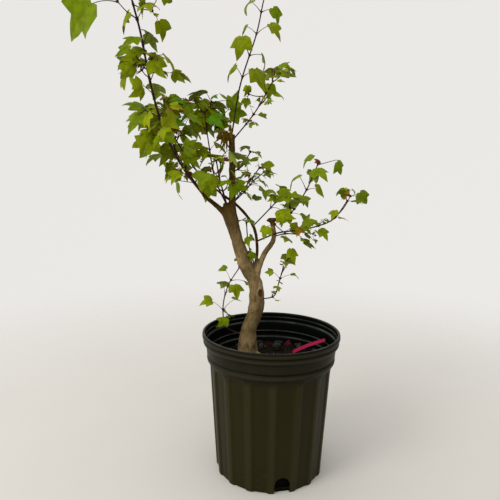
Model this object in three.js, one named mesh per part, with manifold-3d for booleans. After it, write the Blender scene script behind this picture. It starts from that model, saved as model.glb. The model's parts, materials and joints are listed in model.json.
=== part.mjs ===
// A young trident maple in a black fluted nursery pot.
// Millimetres, +Z up. The origin is the centre of the pot's flat underside, +X is to the right of
// the front view and +Y points to the back.

import * as THREE from 'three';
import { mergeVertices } from 'three/addons/utils/BufferGeometryUtils.js';
import Module from 'manifold-3d';

const wasm = await Module();
wasm.setup();

// Pot: a one-gallon pot with a rolled lip, two beads, a plain band and a fluted body.
const POT_HEIGHT = 172;
const LIP_RADIUS = 82.5;
const BAND_RADIUS = 77.2;
const BODY_RADIUS = 73.5;
const BASE_RADIUS = 64.8;
const POT_WALL = 1.6;
const POT_FLOOR = 3;
const BODY_TOP = 136;
const FLUTE_TOP = 130;
const FLUTE_COUNT = 16;
const FLUTE_DEPTH = 2;
const FLUTE_FACETS = 3;
const FLUTE_START = 0.5;
const DRAIN_COUNT = 3;
const DRAIN_WIDTH = 18;
const DRAIN_HEIGHT = 19;

// Soil, and the label that lies on it.
const SOIL_TOP = 134;
const SOIL_FACETS = 48;
const LABEL_SIZE = [44, 10, 0.8];
const LABEL_LOW_END = [29, 27];
const LABEL_HEADING = -7;
const LABEL_RISE = 24;

// Pieces that meet stay this far apart, and joined solids lose slivers narrower than this.
const GAP = 0.3;
const SLIVER = 0.02;
const SAME_CORNER = 1e-4;

// Leaf: a stalk and a blade of three lobes. The half outline gives the half width at heights above
// the blade's foot, as shares of its length. The blade arches over.
const LEAF_HALF = [[0.27, 0.05], [0.52, 0.42], [0.24, 0.48], [0, 1]];
const LEAF_ARCH = 0.22;
const LEAF_THICKNESS = 0.9;
const LEAF_DROOP = 20;
const STALK_RADIUS = 0.42;
const STALK_SHARE = 0.75;
const STALK_SPLAY = 56;

// How far leaves and shoots differ from each other: shares of a size, and angles in degrees.
const SIZE_RANGE = [0.75, 1.2];
const STALK_RANGE = [0.8, 1.2];
const SPLAY_SPREAD = 16;
const DROOP_SPREAD = 44;
const ROLL_SPREAD = 60;
const SWING_SPREAD = 50;
const PAIR_SPREAD = 24;
const PAIR_STEP = 90;

// A limb is a start and a few stretches, each a length with a heading (degrees from +X towards +Y)
// and a rise (degrees above level). Its radii are given at shares of its length.
const TIP = Infinity;
const LIMBS = {
  trunk: {
    start: [-28, 12, SOIL_TOP + GAP],
    stretches: [[30, 0, 89], [32, 0, 74], [30, 180, 89], [25, 180, 63], [54, 180, 71], [18, 180, 74],
      [8, 180, 86]],
    radii: [[0, 13], [0.04, 11.4], [0.14, 9.9], [0.35, 8.7], [0.55, 8.4], [0.75, 7.2], [0.93, 7.4], [1, 5]],
    sides: 12,
    step: 9,
  },
  leader: {
    from: 'trunk', at: 172, stretches: [[28, 60, 89], [76, 120, 88]],
    radii: [[0, 4.2], [0.4, 3.6], [1, 3.4]], sides: 8, step: 20,
  },
  right_bough: {
    from: 'trunk', at: 98, stretches: [[36, 0, 70], [17, 12, 55], [10, 47, 82], [15, 180, 80]],
    radii: [[0, 4], [0.25, 3.1], [0.6, 2.7], [1, 2.4]], sides: 8, step: 9,
  },
  crotch_bough: {
    from: 'trunk', at: 100, stretches: [[39, 43, 82], [26, 136, 74], [32, 169, 50], [21, 173, 34]],
    radii: [[0, 1.8], [0.3, 1.4], [1, 1.2]], sides: 6, step: 10,
  },
  left_bough: {
    from: 'trunk', at: 180, stretches: [[27, -158, 39], [16, -161, 40]],
    radii: [[0, 2.8], [1, 2]], sides: 6, step: 8,
  },
};

// A mass is one stem, given as a limb is, with pairs of leaves along it. Pairs are turned about the
// stem, and every second one by a further step, a quarter where none is given. Leaf sizes run from
// the first pair to the last, and branch is the share of pairs that carry a short side twig in each
// axil. A mass may have its own stalk, a share of the blade's length, its own droop, and a facing for
// its blades in place of the light. Twigs are given side shoots, each with a seed of its own.
const MASSES = {
  left_leader: {
    from: 'left_bough', at: TIP, seed: 368, radii: [[0, 1.8], [0.7, 1.3], [1, 0.8]],
    stretches: [[36, -159, 52], [45, -153, 61], [47, -146, 72], [58, -126, 75],
      [31, -138, 73], [45, -150, 76], [35, -165, 72]],
    first: 25, pairs: 12, turn: -18, step: 90, sizes: [26, 29, 28], stalk: 0.6, droop: 26,
    facing: [0, -0.7, 0.7], branch: 0.5,
    twigs: [
      {
        at: 198, seed: 600, stretches: [[14, 168, 35], [13, 178, 46]], pairs: 1, turn: -120,
        sizes: [48, 48, 48], droop: 52, facing: [-0.3, -1, 0.25],
      },
      {
        at: 140, seed: 389, stretches: [[8, 150, 35], [6, 140, 47]], pairs: 1, turn: 90,
        sizes: [29, 29, 29], droop: 50,
      },
      {
        at: 136, seed: 309, stretches: [[8, 75, 50], [6, 65, 62]], pairs: 1, turn: 120,
        sizes: [35, 35, 35],
      },
      {
        at: 212, seed: 854, stretches: [[12, 45, -10], [10, 35, 2]], pairs: 1, turn: 105,
        sizes: [23, 23, 23], droop: 50, facing: [0.3, -0.8, 0.5],
      },
      {
        at: 154, seed: 417, stretches: [[16, 135, 20], [14, 125, 32]], pairs: 1, turn: 15,
        sizes: [23, 23, 23], facing: [0, -0.7, 0.7],
      },
    ],
  },
  left_mid: {
    from: 'left_bough', at: 30, seed: 140, radii: [[0, 1.2], [1, 0.8]],
    stretches: [[31, 153, 44], [40, 169, 57], [34, 170, 69]], first: 30, pairs: 4, turn: 130,
    sizes: [29, 35, 29], stalk: 0.95, droop: 74, facing: [0, -0.7, 0.7], branch: 0.6, twigs: [],
  },
  left_inner: {
    from: 'crotch_bough', at: TIP, seed: 913, radii: [[0, 1.4], [1, 0.8]],
    stretches: [[38, 172, 41], [40, 168, 53], [46, 165, 59]], first: 48, pairs: 5, turn: 85,
    sizes: [26, 32, 29], droop: 44, facing: [0, -1, 0.3], branch: 0.5,
    twigs: [
      {
        at: 108, seed: 531, stretches: [[16, -90, 5], [14, -80, 17]], pairs: 1, turn: 105,
        sizes: [42, 42, 42], facing: [0, -1, 0.3],
      },
    ],
  },
  centre_left: {
    from: 'trunk', at: 192, seed: 140, radii: [[0, 1.2], [1, 0.8]],
    stretches: [[37, 147, 60], [45, 132, 73], [38, 124, 75]], first: 50, pairs: 4, turn: 20,
    sizes: [18, 25, 32], droop: 4, branch: 0.3, twigs: [],
  },
  front_shoot: {
    from: 'trunk', at: 190, seed: 565, radii: [[0, 1.3], [1, 0.9]],
    stretches: [[41, -117, 61], [21, -120, 71]], first: 24, pairs: 3, turn: 70, sizes: [24, 26, 22],
    droop: 60, branch: 0.3, twigs: [],
  },
  right_leader: {
    from: 'leader', at: TIP, seed: 340, radii: [[0, 1.2], [1, 0.8]],
    stretches: [[57, 33, 79], [63, 18, 72], [36, 42, 75], [40, 20, 76]], first: 66, pairs: 6, turn: 60,
    step: 56, sizes: [24, 28, 22], droop: 46, branch: 0, twigs: [],
  },
  wilted_tuft: {
    from: 'leader', at: 100, seed: 67, radii: [[0, 0.9], [1, 0.8]],
    stretches: [[6, 222, 25], [3, 222, 50]], first: 6, pairs: 2, turn: 20, sizes: [15, 15, 13], droop: 78,
    branch: 0, twigs: [],
  },
  up_right: {
    from: 'leader', at: 96, seed: 344, radii: [[0, 1], [1, 0.8]],
    stretches: [[42, -19, 49], [39, -24, 57]], first: 25, pairs: 5, turn: 30, sizes: [13, 16, 21],
    droop: -10, facing: [0, -0.7, 0.7], branch: 0.3,
    twigs: [
      {
        at: 53, seed: 362, stretches: [[8, 45, 35], [6, 35, 47]], pairs: 1, turn: 165, sizes: [16, 16, 16],
        droop: 50, facing: [0.3, -0.8, 0.5],
      },
      {
        at: 63, seed: 818, stretches: [[12, 150, 5], [10, 140, 17]], pairs: 1, turn: 60,
        sizes: [13, 13, 13], droop: 65, facing: [0, -0.7, 0.7],
      },
    ],
  },
  mid_right: {
    from: 'leader', at: 60, seed: 742, radii: [[0, 0.9], [1, 0.8]],
    stretches: [[15, 20, 32], [11, 32, 56], [8, 20, 62]], first: 7, pairs: 3, turn: 80,
    sizes: [11, 13, 14], branch: 0.3, twigs: [],
  },
  low_mid_right: {
    from: 'trunk', at: 190, seed: 293, radii: [[0, 1], [1, 0.8]], stretches: [[46, 41, 44], [23, 40, 47]],
    first: 25, pairs: 3, turn: 90, sizes: [13, 14, 16], droop: 8, branch: 0.2, twigs: [],
  },
  fork_right: {
    from: 'crotch_bough', at: 65, seed: 225, radii: [[0, 1], [1, 0.8]],
    stretches: [[35, -22, 46], [16, -22, 48]], first: 31, pairs: 3, turn: 30, sizes: [20, 24, 26],
    droop: 8, branch: 0.2, twigs: [],
  },
  far_right: {
    from: 'crotch_bough', at: 46, seed: 24, radii: [[0, 1.3], [1, 0.8]],
    stretches: [[30, -24, 23], [32, -11, 10], [33, -11, 21], [27, -15, 54]], first: 54, pairs: 4,
    turn: -50, sizes: [13, 14, 16], branch: 0.2,
    twigs: [
      {
        at: 99, seed: 57, stretches: [[16, 0, 50], [14, 10, 62]], pairs: 1, turn: 60, sizes: [17, 17, 17],
        droop: 65, facing: [0, -0.7, 0.7],
      },
    ],
  },
  crotch_shoot: {
    from: 'crotch_bough', at: 14, seed: 446, radii: [[0, 1.1], [1, 0.8]],
    stretches: [[31, -175, 74], [24, 180, 84]], first: 14, pairs: 3, turn: 40, sizes: [13, 14, 13],
    droop: 26, facing: [0, -0.7, 0.7], branch: 0, twigs: [],
  },
  upper_right: {
    from: 'right_bough', at: TIP, seed: 951, radii: [[0, 1.2], [1, 0.8]],
    stretches: [[21, 14, 17], [34, 17, 52], [38, 22, 64]], first: 25, pairs: 5, turn: 85,
    sizes: [15, 20, 24], droop: 32, branch: 0.2,
    twigs: [
      {
        at: 32, seed: 227, stretches: [[12, -105, 5], [10, -115, 17]], pairs: 1, turn: 120,
        sizes: [18, 18, 18], droop: 35, facing: [-0.3, -0.8, 0.5],
      },
    ],
  },
  stub_twig: {
    from: 'right_bough', at: 59, seed: 556, radii: [[0, 0.9], [1, 0.8]],
    stretches: [[15, -25, 16], [16, -22, 1]], first: 13, pairs: 2, turn: 20, sizes: [18, 20, 22],
    droop: -4, facing: [0, -0.7, 0.7], branch: 0,
    twigs: [
      {
        at: 17, seed: 8, stretches: [[16, -120, 20], [14, -130, 32]], pairs: 1, turn: 75,
        sizes: [16, 16, 16], droop: 65,
      },
    ],
  },
  low_right: {
    from: 'trunk', at: 74, seed: 555, radii: [[0, 0.9], [1, 0.8]],
    stretches: [[23, -22, 17], [19, -37, 69], [18, 0, 75]], first: 20, pairs: 4, turn: 80,
    sizes: [7, 11, 18], stalk: 1.15, droop: 8, branch: 0,
    twigs: [
      {
        at: 53, seed: 759, stretches: [[12, 45, 50], [10, 55, 62]], pairs: 1, turn: 0, sizes: [20, 20, 20],
        droop: 50,
      },
    ],
  },
  basal_shoot: {
    from: 'trunk', at: 26, seed: 482, radii: [[0, 1], [1, 0.8]],
    stretches: [[29, 163, 18], [23, 130, 70], [29, 46, 73], [27, 24, 56]], first: 32, pairs: 5, turn: 20,
    sizes: [17, 17, 17], stalk: 1.15, droop: 14, branch: 0, twigs: [],
  },
  back_shoot: {
    from: 'leader', at: 84, seed: 138, radii: [[0, 1], [1, 0.8]],
    stretches: [[37, 114, 31], [29, 117, 49]], first: 54, pairs: 4, turn: 90, sizes: [26, 33, 31],
    stalk: 0.6, droop: 2, facing: [-0.3, -0.8, 0.5], branch: 0.3, twigs: [],
  },
  back_low_shoot: {
    from: 'trunk', at: 192, seed: 140, radii: [[0, 1], [1, 0.8]], stretches: [[41, 63, 22], [26, 55, 34]],
    first: 43, pairs: 4, turn: 100, sizes: [20, 23, 22], stalk: 1.15, droop: 2, branch: 0.2, twigs: [],
  },
};
const STEM_SIDES = 4;
const STEM_STEP = 16;
const TWIG_SIDES = 3;
const TWIG_RADIUS = 0.7;
const TWIG_LENGTH = 15;
const TWIG_RANGE = [0.8, 1.4];
const TWIG_RISE = 0.6;
const TWIG_FOOT_RADIUS = 0.98;
const END_INSET = 1;
const TWIG_SPLAY = 45;
const TWIG_LEAF_SHARE = 0.75;
const TWIG_SEEDS = 5000;

// A leaf that touches something is turned about its stem by these angles, and then left out.
const TURNS = [0, 22, -22, 44, -44, 66, -66];

const RAD = Math.PI / 180;
const UP = new THREE.Vector3(0, 0, 1);
const BACK = new THREE.Vector3(0, 1, 0);

// The light, which falls from above and in front.
const LIGHT = new THREE.Vector3(0.05, -0.36, 0.92).normalize();

// A stream of numbers from 0 to 1, the same on every run.
function numberStream(seed) {
  let state = seed * 7919;
  return () => {
    state = (Math.imul(state, 1664525) + 1013904223) >>> 0;
    return state / 4294967296;
  };
}

function between([low, high], random) {
  return low + (high - low) * random();
}

// An angle in radians on either side of a middle one, both given in degrees.
function angleNear(middle, spread, random) {
  return (middle + spread * (random() - 0.5)) * RAD;
}

// A value read from [share, value] pairs, straight between them.
function valueAt(pairs, share) {
  let low = pairs[0];
  for (const high of pairs) {
    if (share <= high[0]) {
      const span = high[0] - low[0] || 1;
      return low[1] + ((high[1] - low[1]) * (share - low[0])) / span;
    }
    low = high;
  }
  return low[1];
}

function direction(heading, rise) {
  const level = Math.cos(rise * RAD);
  const [x, y] = [Math.cos(heading * RAD), Math.sin(heading * RAD)];
  return new THREE.Vector3(level * x, level * y, Math.sin(rise * RAD));
}

// The smooth centre line through the ends of a limb's stretches.
function centreLine(start, stretches) {
  const points = [start.clone()];
  for (const [length, heading, rise] of stretches) {
    points.push(points.at(-1).clone().addScaledVector(direction(heading, rise), length));
  }
  return new THREE.CatmullRomCurve3(points);
}

// A point of a line with three square directions: along it, backwards and to the side.
function frameAt(line, share) {
  const along = line.getTangentAt(share);
  const back = BACK.clone().addScaledVector(along, -along.dot(BACK)).normalize();
  const side = new THREE.Vector3().crossVectors(along, back);
  return { point: line.getPointAt(share), along, back, side };
}

// A closed mesh as a solid: shared corners are merged and faces with no area dropped.
function solidOf(geometry) {
  geometry.deleteAttribute('normal');
  geometry.deleteAttribute('uv');
  const merged = mergeVertices(geometry, SAME_CORNER);
  const index = merged.index.array;
  const corners = [];
  for (let i = 0; i < index.length; i += 3) {
    const [a, b, c] = [index[i], index[i + 1], index[i + 2]];
    if (a !== b && b !== c && c !== a) corners.push(a, b, c);
  }
  const mesh = new wasm.Mesh({
    numProp: 3,
    vertProperties: merged.attributes.position.array,
    triVerts: Uint32Array.from(corners),
  });
  return new wasm.Manifold(mesh);
}

function geometryOf(solid) {
  const mesh = solid.getMesh();
  const geometry = new THREE.BufferGeometry();
  geometry.setAttribute('position', new THREE.BufferAttribute(mesh.vertProperties, 3));
  geometry.setIndex(new THREE.BufferAttribute(mesh.triVerts, 1));
  geometry.computeVertexNormals();
  return geometry;
}

// The largest body of a solid, with slivers taken out: scraps are dropped and sealed hollows filled.
function mainBody(solid) {
  const bodies = solid.simplify(SLIVER).decompose();
  bodies.sort((a, b) => b.volume() - a.volume());
  return bodies[0];
}

// Moves each vertex of a geometry by a function of its place.
function reshape(geometry, move) {
  const position = geometry.attributes.position;
  const vertex = new THREE.Vector3();
  for (let i = 0; i < position.count; i++) {
    vertex.fromBufferAttribute(position, i);
    move(vertex);
    position.setXYZ(i, vertex.x, vertex.y, vertex.z);
  }
  return geometry;
}

// A tapering round limb: a turned profile bent along a line, grown evenly by extra.
function limbSolid(line, radii, sides, step, extra = 0) {
  const length = line.getLength();
  const steps = Math.max(1, Math.round(length / step));
  const profile = [new THREE.Vector2(0, -extra)];
  for (let i = 0; i <= steps; i++) {
    const share = i / steps;
    const height = length * share + extra * (2 * share - 1);
    profile.push(new THREE.Vector2(valueAt(radii, share) + extra, height));
  }
  profile.push(new THREE.Vector2(0, length + extra));
  const bend = (vertex) => {
    const share = THREE.MathUtils.clamp(vertex.y / length, 0, 1);
    const frame = frameAt(line, share);
    const past = vertex.y - share * length;
    const { x, z } = vertex;
    vertex.copy(frame.point).addScaledVector(frame.along, past);
    vertex.addScaledVector(frame.side, x).addScaledVector(frame.back, z);
  };
  return solidOf(reshape(new THREE.LatheGeometry(profile, sides), bend));
}

// Pot

// How far the wall is drawn in at an angle and a height: flutes between sharp ribs.
function fluteDepth(angle, height) {
  const turn = ((angle / (2 * Math.PI)) * FLUTE_COUNT + FLUTE_COUNT) % 1;
  const fromRib = Math.min(turn, 1 - turn) * FLUTE_FACETS;
  const fade = THREE.MathUtils.clamp((BODY_TOP - height) / (BODY_TOP - FLUTE_TOP), 0, 1);
  return FLUTE_DEPTH * Math.min(1, fromRib) * fade;
}

function potProfile() {
  const lip = LIP_RADIUS;
  const outside = [
    [0, 0], [BASE_RADIUS, 0], [BODY_RADIUS - 0.5, FLUTE_TOP], [BODY_RADIUS, BODY_TOP],
    [BAND_RADIUS - 0.6, BODY_TOP + 4], [BAND_RADIUS - 1.4, BODY_TOP + 8],
    [BAND_RADIUS + 0.5, POT_HEIGHT - 15], [lip - 1.4, POT_HEIGHT - 11.6],
    [lip - 2, POT_HEIGHT - 7.2], [lip, POT_HEIGHT - 4], [lip - 1.6, POT_HEIGHT],
  ];
  const inside = [
    [lip - 3.2, POT_HEIGHT], [lip - 4, POT_HEIGHT - 9], [BAND_RADIUS - 3, BODY_TOP + 8],
    [BODY_RADIUS - POT_WALL, BODY_TOP], [BODY_RADIUS - 0.5 - POT_WALL, FLUTE_TOP],
    [BASE_RADIUS - POT_WALL, POT_FLOOR], [0, POT_FLOOR],
  ];
  return [...outside, ...inside].map(([radius, height]) => new THREE.Vector2(radius, height));
}

// An upright arch-topped block that cuts one drain hole through the wall at the foot.
function drainCutter(angle) {
  const half = DRAIN_WIDTH / 2;
  const arch = new THREE.Shape();
  arch.moveTo(-half, -1);
  arch.lineTo(half, -1);
  arch.lineTo(half, DRAIN_HEIGHT - half);
  arch.absarc(0, DRAIN_HEIGHT - half, half, 0, Math.PI);
  const options = { depth: BASE_RADIUS / 3, curveSegments: 5, bevelEnabled: false };
  const block = new THREE.ExtrudeGeometry(arch, options);
  block.rotateX(Math.PI / 2);
  block.translate(0, -BASE_RADIUS * 0.85, 0);
  block.rotateZ(angle);
  return solidOf(block);
}

function potSolid() {
  const turned = new THREE.LatheGeometry(potProfile(), FLUTE_COUNT * FLUTE_FACETS);
  reshape(turned, (vertex) => {
    const radius = Math.hypot(vertex.x, vertex.z);
    if (radius < BASE_RADIUS / 2) return;
    const shrink = 1 - fluteDepth(Math.atan2(vertex.x, vertex.z), vertex.y) / radius;
    vertex.x *= shrink;
    vertex.z *= shrink;
  });
  turned.rotateX(Math.PI / 2);
  turned.rotateZ(FLUTE_START * RAD);
  let pot = solidOf(turned);
  for (let i = 0; i < DRAIN_COUNT; i++) {
    const centre = FLUTE_START + 180 / FLUTE_COUNT + (360 / DRAIN_COUNT) * i;
    pot = pot.subtract(drainCutter(centre * RAD));
  }
  return mainBody(pot);
}

function soilSolid() {
  const inset = POT_WALL + FLUTE_DEPTH + GAP;
  const foot = BASE_RADIUS - inset;
  const top = BODY_RADIUS - 0.5 - inset;
  const low = POT_FLOOR + GAP;
  const heap = new THREE.CylinderGeometry(top, foot, SOIL_TOP - low, SOIL_FACETS);
  heap.rotateX(Math.PI / 2);
  heap.translate(0, 0, (SOIL_TOP + low) / 2);
  return solidOf(heap);
}

function labelSolid() {
  const [length, width, thickness] = LABEL_SIZE;
  const strip = new THREE.BoxGeometry(length, width, thickness);
  strip.translate(length / 2, 0, thickness / 2);
  strip.rotateY(-LABEL_RISE * RAD);
  strip.rotateZ(LABEL_HEADING * RAD);
  strip.translate(LABEL_LOW_END[0], LABEL_LOW_END[1], SOIL_TOP + GAP);
  return solidOf(strip);
}

// Trunk and boughs

const lines = {};
const grown = [];

function startOf(spec) {
  if (spec.start) return new THREE.Vector3(...spec.start);
  const parent = lines[spec.from];
  return parent.getPointAt(Math.min(spec.at / parent.getLength(), 1));
}

function overlaps(a, b) {
  return [0, 1, 2].every((axis) => a.min[axis] < b.max[axis] && b.min[axis] < a.max[axis]);
}

// A solid cut clear of every limb that stands already.
function clearOfLimbs(solid) {
  let cut = solid;
  for (const limb of grown) {
    if (overlaps(cut.boundingBox(), limb.boundingBox())) cut = cut.subtract(limb);
  }
  return mainBody(cut);
}

function limbBody(name) {
  const spec = LIMBS[name];
  const line = centreLine(startOf(spec), spec.stretches);
  lines[name] = line;
  const body = clearOfLimbs(limbSolid(line, spec.radii, spec.sides, spec.step));
  grown.push(limbSolid(line, spec.radii, spec.sides, spec.step, GAP));
  return body;
}

// Leaves

// How one leaf stands: its stalk splays from the stem and its blade hangs over from the stalk's end,
// with its upper side to its facing.
function leafPose(leaf, turn) {
  const out = leaf.out.clone().applyAxisAngle(leaf.along, turn * RAD);
  const { along, splay, droop } = leaf;
  const stalk = along.clone().multiplyScalar(Math.cos(splay)).addScaledVector(out, Math.sin(splay));
  const end = leaf.foot.clone().addScaledVector(stalk, leaf.stalk);
  const ahead = new THREE.Vector3(stalk.x, stalk.y, 0).normalize().applyAxisAngle(UP, leaf.swing);
  const axis = ahead.clone().multiplyScalar(Math.cos(droop)).addScaledVector(UP, -Math.sin(droop));
  const lit = leaf.facing.clone().addScaledVector(axis, -axis.dot(leaf.facing)).normalize();
  const face = lit.applyAxisAngle(axis, leaf.roll);
  const across = new THREE.Vector3().crossVectors(axis, face);
  return { stalk, end, axis, face, across };
}

// The sections of a leaf from its root in the stem to its tip: a middle, two directions and a half
// width.
function leafSections(leaf, pose) {
  const { stalk, across } = pose;
  const flat = across.clone().addScaledVector(stalk, -stalk.dot(across)).normalize();
  const top = new THREE.Vector3().crossVectors(flat, stalk);
  const sections = [leaf.foot, pose.end].map((middle) => ({ middle, flat, top, half: STALK_RADIUS }));
  for (const [half, height] of LEAF_HALF) {
    const middle = pose.end.clone().addScaledVector(pose.axis, height * leaf.size);
    middle.addScaledVector(pose.face, -LEAF_ARCH * height * height * leaf.size);
    sections.push({ middle, flat: across, top: pose.face, half: half * leaf.size });
  }
  return sections;
}

// A leaf is one turned body with three sides, the midrib on top, carried through its sections.
function leafSolid(leaf, turn) {
  const sections = leafSections(leaf, leafPose(leaf, turn));
  const last = sections.length - 1;
  const profile = sections.map((_, i) => new THREE.Vector2(i < last ? 1 : 0, i));
  const body = new THREE.LatheGeometry([new THREE.Vector2(0, 0), ...profile], TWIG_SIDES);
  return solidOf(reshape(body, (vertex) => {
    const { middle, flat, top, half } = sections[Math.round(vertex.y)];
    const beside = Math.abs(vertex.x) > 0.1 ? Math.sign(vertex.x) : 0;
    const rise = Math.sign(Math.round(vertex.z * 4)) * LEAF_THICKNESS / 2;
    vertex.copy(middle).addScaledVector(flat, beside * half).addScaledVector(top, rise);
  }));
}

// Every solid that leaves have to keep clear of, with the stem that it is or grows from.
const obstacles = [];

function addObstacle(solid, owner) {
  obstacles.push({ solid, owner, box: solid.boundingBox() });
}

function isClear(solid, owner) {
  const box = solid.boundingBox();
  const near = obstacles.filter((other) => other.owner !== owner && overlaps(box, other.box));
  return near.every((other) => solid.minGap(other.solid, GAP) >= GAP);
}

// The first turn of a leaf that is clear of everything but the shoot it grows from, or nothing.
function placeLeaf(leaf, stem) {
  for (const turn of TURNS) {
    const solid = leafSolid(leaf, turn);
    if (isClear(solid, stem)) {
      addObstacle(solid, stem);
      return solid;
    }
  }
  return null;
}

// Foliage masses

function leafAt(frame, turn, size, shoot, random) {
  const out = frame.back.clone().multiplyScalar(Math.cos(turn)).addScaledVector(frame.side, Math.sin(turn));
  const real = size * between(SIZE_RANGE, random);
  const facing = shoot.facing ? new THREE.Vector3(...shoot.facing).normalize() : LIGHT;
  return {
    foot: frame.point,
    along: frame.along,
    out,
    size: real,
    stalk: real * (shoot.stalk ?? STALK_SHARE) * between(STALK_RANGE, random),
    splay: angleNear(STALK_SPLAY, SPLAY_SPREAD, random),
    droop: angleNear(shoot.droop ?? LEAF_DROOP, DROOP_SPREAD, random),
    roll: angleNear(0, ROLL_SPREAD, random),
    swing: angleNear(0, SWING_SPREAD, random),
    facing,
  };
}

// A side twig in an axil, bending up from its splay towards the stem's own direction.
function sideTwigLine(frame, out, length) {
  const splay = TWIG_SPLAY * RAD;
  const away = frame.along.clone().multiplyScalar(Math.cos(splay)).addScaledVector(out, Math.sin(splay));
  const bent = away.clone().addScaledVector(frame.along, TWIG_RISE).normalize();
  const middle = frame.point.clone().addScaledVector(away, length / 2);
  const end = middle.clone().addScaledVector(bent, length / 2);
  return new THREE.CatmullRomCurve3([frame.point.clone(), middle, end]);
}

// Leaves and side twigs of one shoot, gathered into the mass's list of solids.
function dressShoot(line, shoot, stem, random, solids) {
  const length = line.getLength();
  const last = length - END_INSET;
  const first = shoot.first ?? last;
  const [low, middle, high] = shoot.sizes;
  for (let pair = 0; pair < shoot.pairs; pair++) {
    const share = shoot.pairs > 1 ? pair / (shoot.pairs - 1) : 1;
    const frame = frameAt(line, (first + (last - first) * share) / length);
    const step = shoot.step ?? PAIR_STEP;
    const turn = angleNear(shoot.turn + step * (pair % 2), PAIR_SPREAD, random);
    const size = valueAt([[0, low], [0.5, middle], [1, high]], share);
    const branches = random() < (shoot.branch ?? 0);
    for (const opposite of [0, Math.PI]) {
      const leaf = leafAt(frame, turn + opposite, size, shoot, random);
      const solid = placeLeaf(leaf, stem);
      if (solid) solids.push(solid);
      const twigLength = TWIG_LENGTH * between(TWIG_RANGE, random);
      const twigRandom = numberStream(Math.floor(random() * TWIG_SEEDS));
      const twigLine = sideTwigLine(frame, leaf.out, twigLength);
      if (branches) dressSideTwig(twigLine, size, twigRandom, solids, stem);
    }
  }
}

function dressSideTwig(line, size, random, solids, stem) {
  const twig = limbSolid(line, [[0, TWIG_RADIUS], [1, TWIG_RADIUS]], TWIG_SIDES, TWIG_LENGTH);
  const small = size * TWIG_LEAF_SHARE;
  const shoot = { pairs: 1, turn: 180 * random(), sizes: [small, small, small] };
  if (!isClear(twig, stem)) return;
  addObstacle(twig, twig);
  solids.push(twig);
  dressShoot(line, shoot, twig, random, solids);
}

const stems = {};

function placeStem(name) {
  const spec = MASSES[name];
  const line = centreLine(startOf(spec), spec.stretches);
  lines[name] = line;
  stems[name] = clearOfLimbs(limbSolid(line, spec.radii, STEM_SIDES, STEM_STEP));
  addObstacle(stems[name], name);
}

// The given twigs of a mass that are clear of every other stem.
const twigs = {};

function placeTwigs(name) {
  twigs[name] = [];
  for (const shoot of MASSES[name].twigs) {
    const line = centreLine(startOf({ from: name, at: shoot.at }), shoot.stretches);
    const twig = limbSolid(line, [[0, TWIG_FOOT_RADIUS], [1, TWIG_RADIUS]], TWIG_SIDES, TWIG_LENGTH);
    if (!isClear(twig, name)) continue;
    addObstacle(twig, twig);
    twigs[name].push({ shoot, line, twig });
  }
}

function massBody(name) {
  const spec = MASSES[name];
  const solids = [stems[name]];
  for (const { shoot, line, twig } of twigs[name]) {
    solids.push(twig);
    dressShoot(line, shoot, twig, numberStream(shoot.seed), solids);
  }
  dressShoot(lines[name], spec, name, numberStream(spec.seed), solids);
  return mainBody(wasm.Manifold.union(solids));
}

// Assembly

const FINISHES = {
  pot: new THREE.MeshStandardMaterial({ color: 0x2a2b20, roughness: 0.55, metalness: 0 }),
  soil: new THREE.MeshStandardMaterial({ color: 0x2b211b, roughness: 1, metalness: 0 }),
  label: new THREE.MeshStandardMaterial({ color: 0xc2185b, roughness: 0.5, metalness: 0 }),
  bark: new THREE.MeshStandardMaterial({ color: 0x8c7a62, roughness: 0.85, metalness: 0 }),
  twig: new THREE.MeshStandardMaterial({ color: 0x3b2a22, roughness: 0.8, metalness: 0 }),
  leaf: new THREE.MeshStandardMaterial({ color: 0x5d8a22, roughness: 0.6, metalness: 0 }),
};

const maple = new THREE.Group();
maple.name = 'potted_trident_maple';

function addPiece(name, solid, finish) {
  const mesh = new THREE.Mesh(geometryOf(solid), FINISHES[finish]);
  mesh.name = name;
  maple.add(mesh);
}

const pot = potSolid();
const soil = soilSolid();
const label = labelSolid();
addPiece('pot', pot, 'pot');
addPiece('soil', soil, 'soil');
addPiece('plant_label', label, 'label');
for (const solid of [pot, soil, label]) addObstacle(solid, solid);
for (const name of Object.keys(LIMBS)) {
  const body = limbBody(name);
  addPiece(name, body, name === 'trunk' || name === 'right_bough' ? 'bark' : 'twig');
  addObstacle(body, body);
}
Object.keys(MASSES).forEach(placeStem);
Object.keys(MASSES).forEach(placeTwigs);
for (const name of Object.keys(MASSES)) addPiece(name, massBody(name), 'leaf');

export default maple;
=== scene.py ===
"""Looks of a young trident maple in a black fluted nursery pot.

Sizes are in millimetres and angles in degrees until a mesh or a material is made, which is in metres.
+Z is up, +X is to the right of the front view and +Y points to the back. The origin is the centre of the
pot's flat underside.
"""
import json
import math

import bpy
import numpy as np
from mathutils import Matrix, Vector

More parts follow.
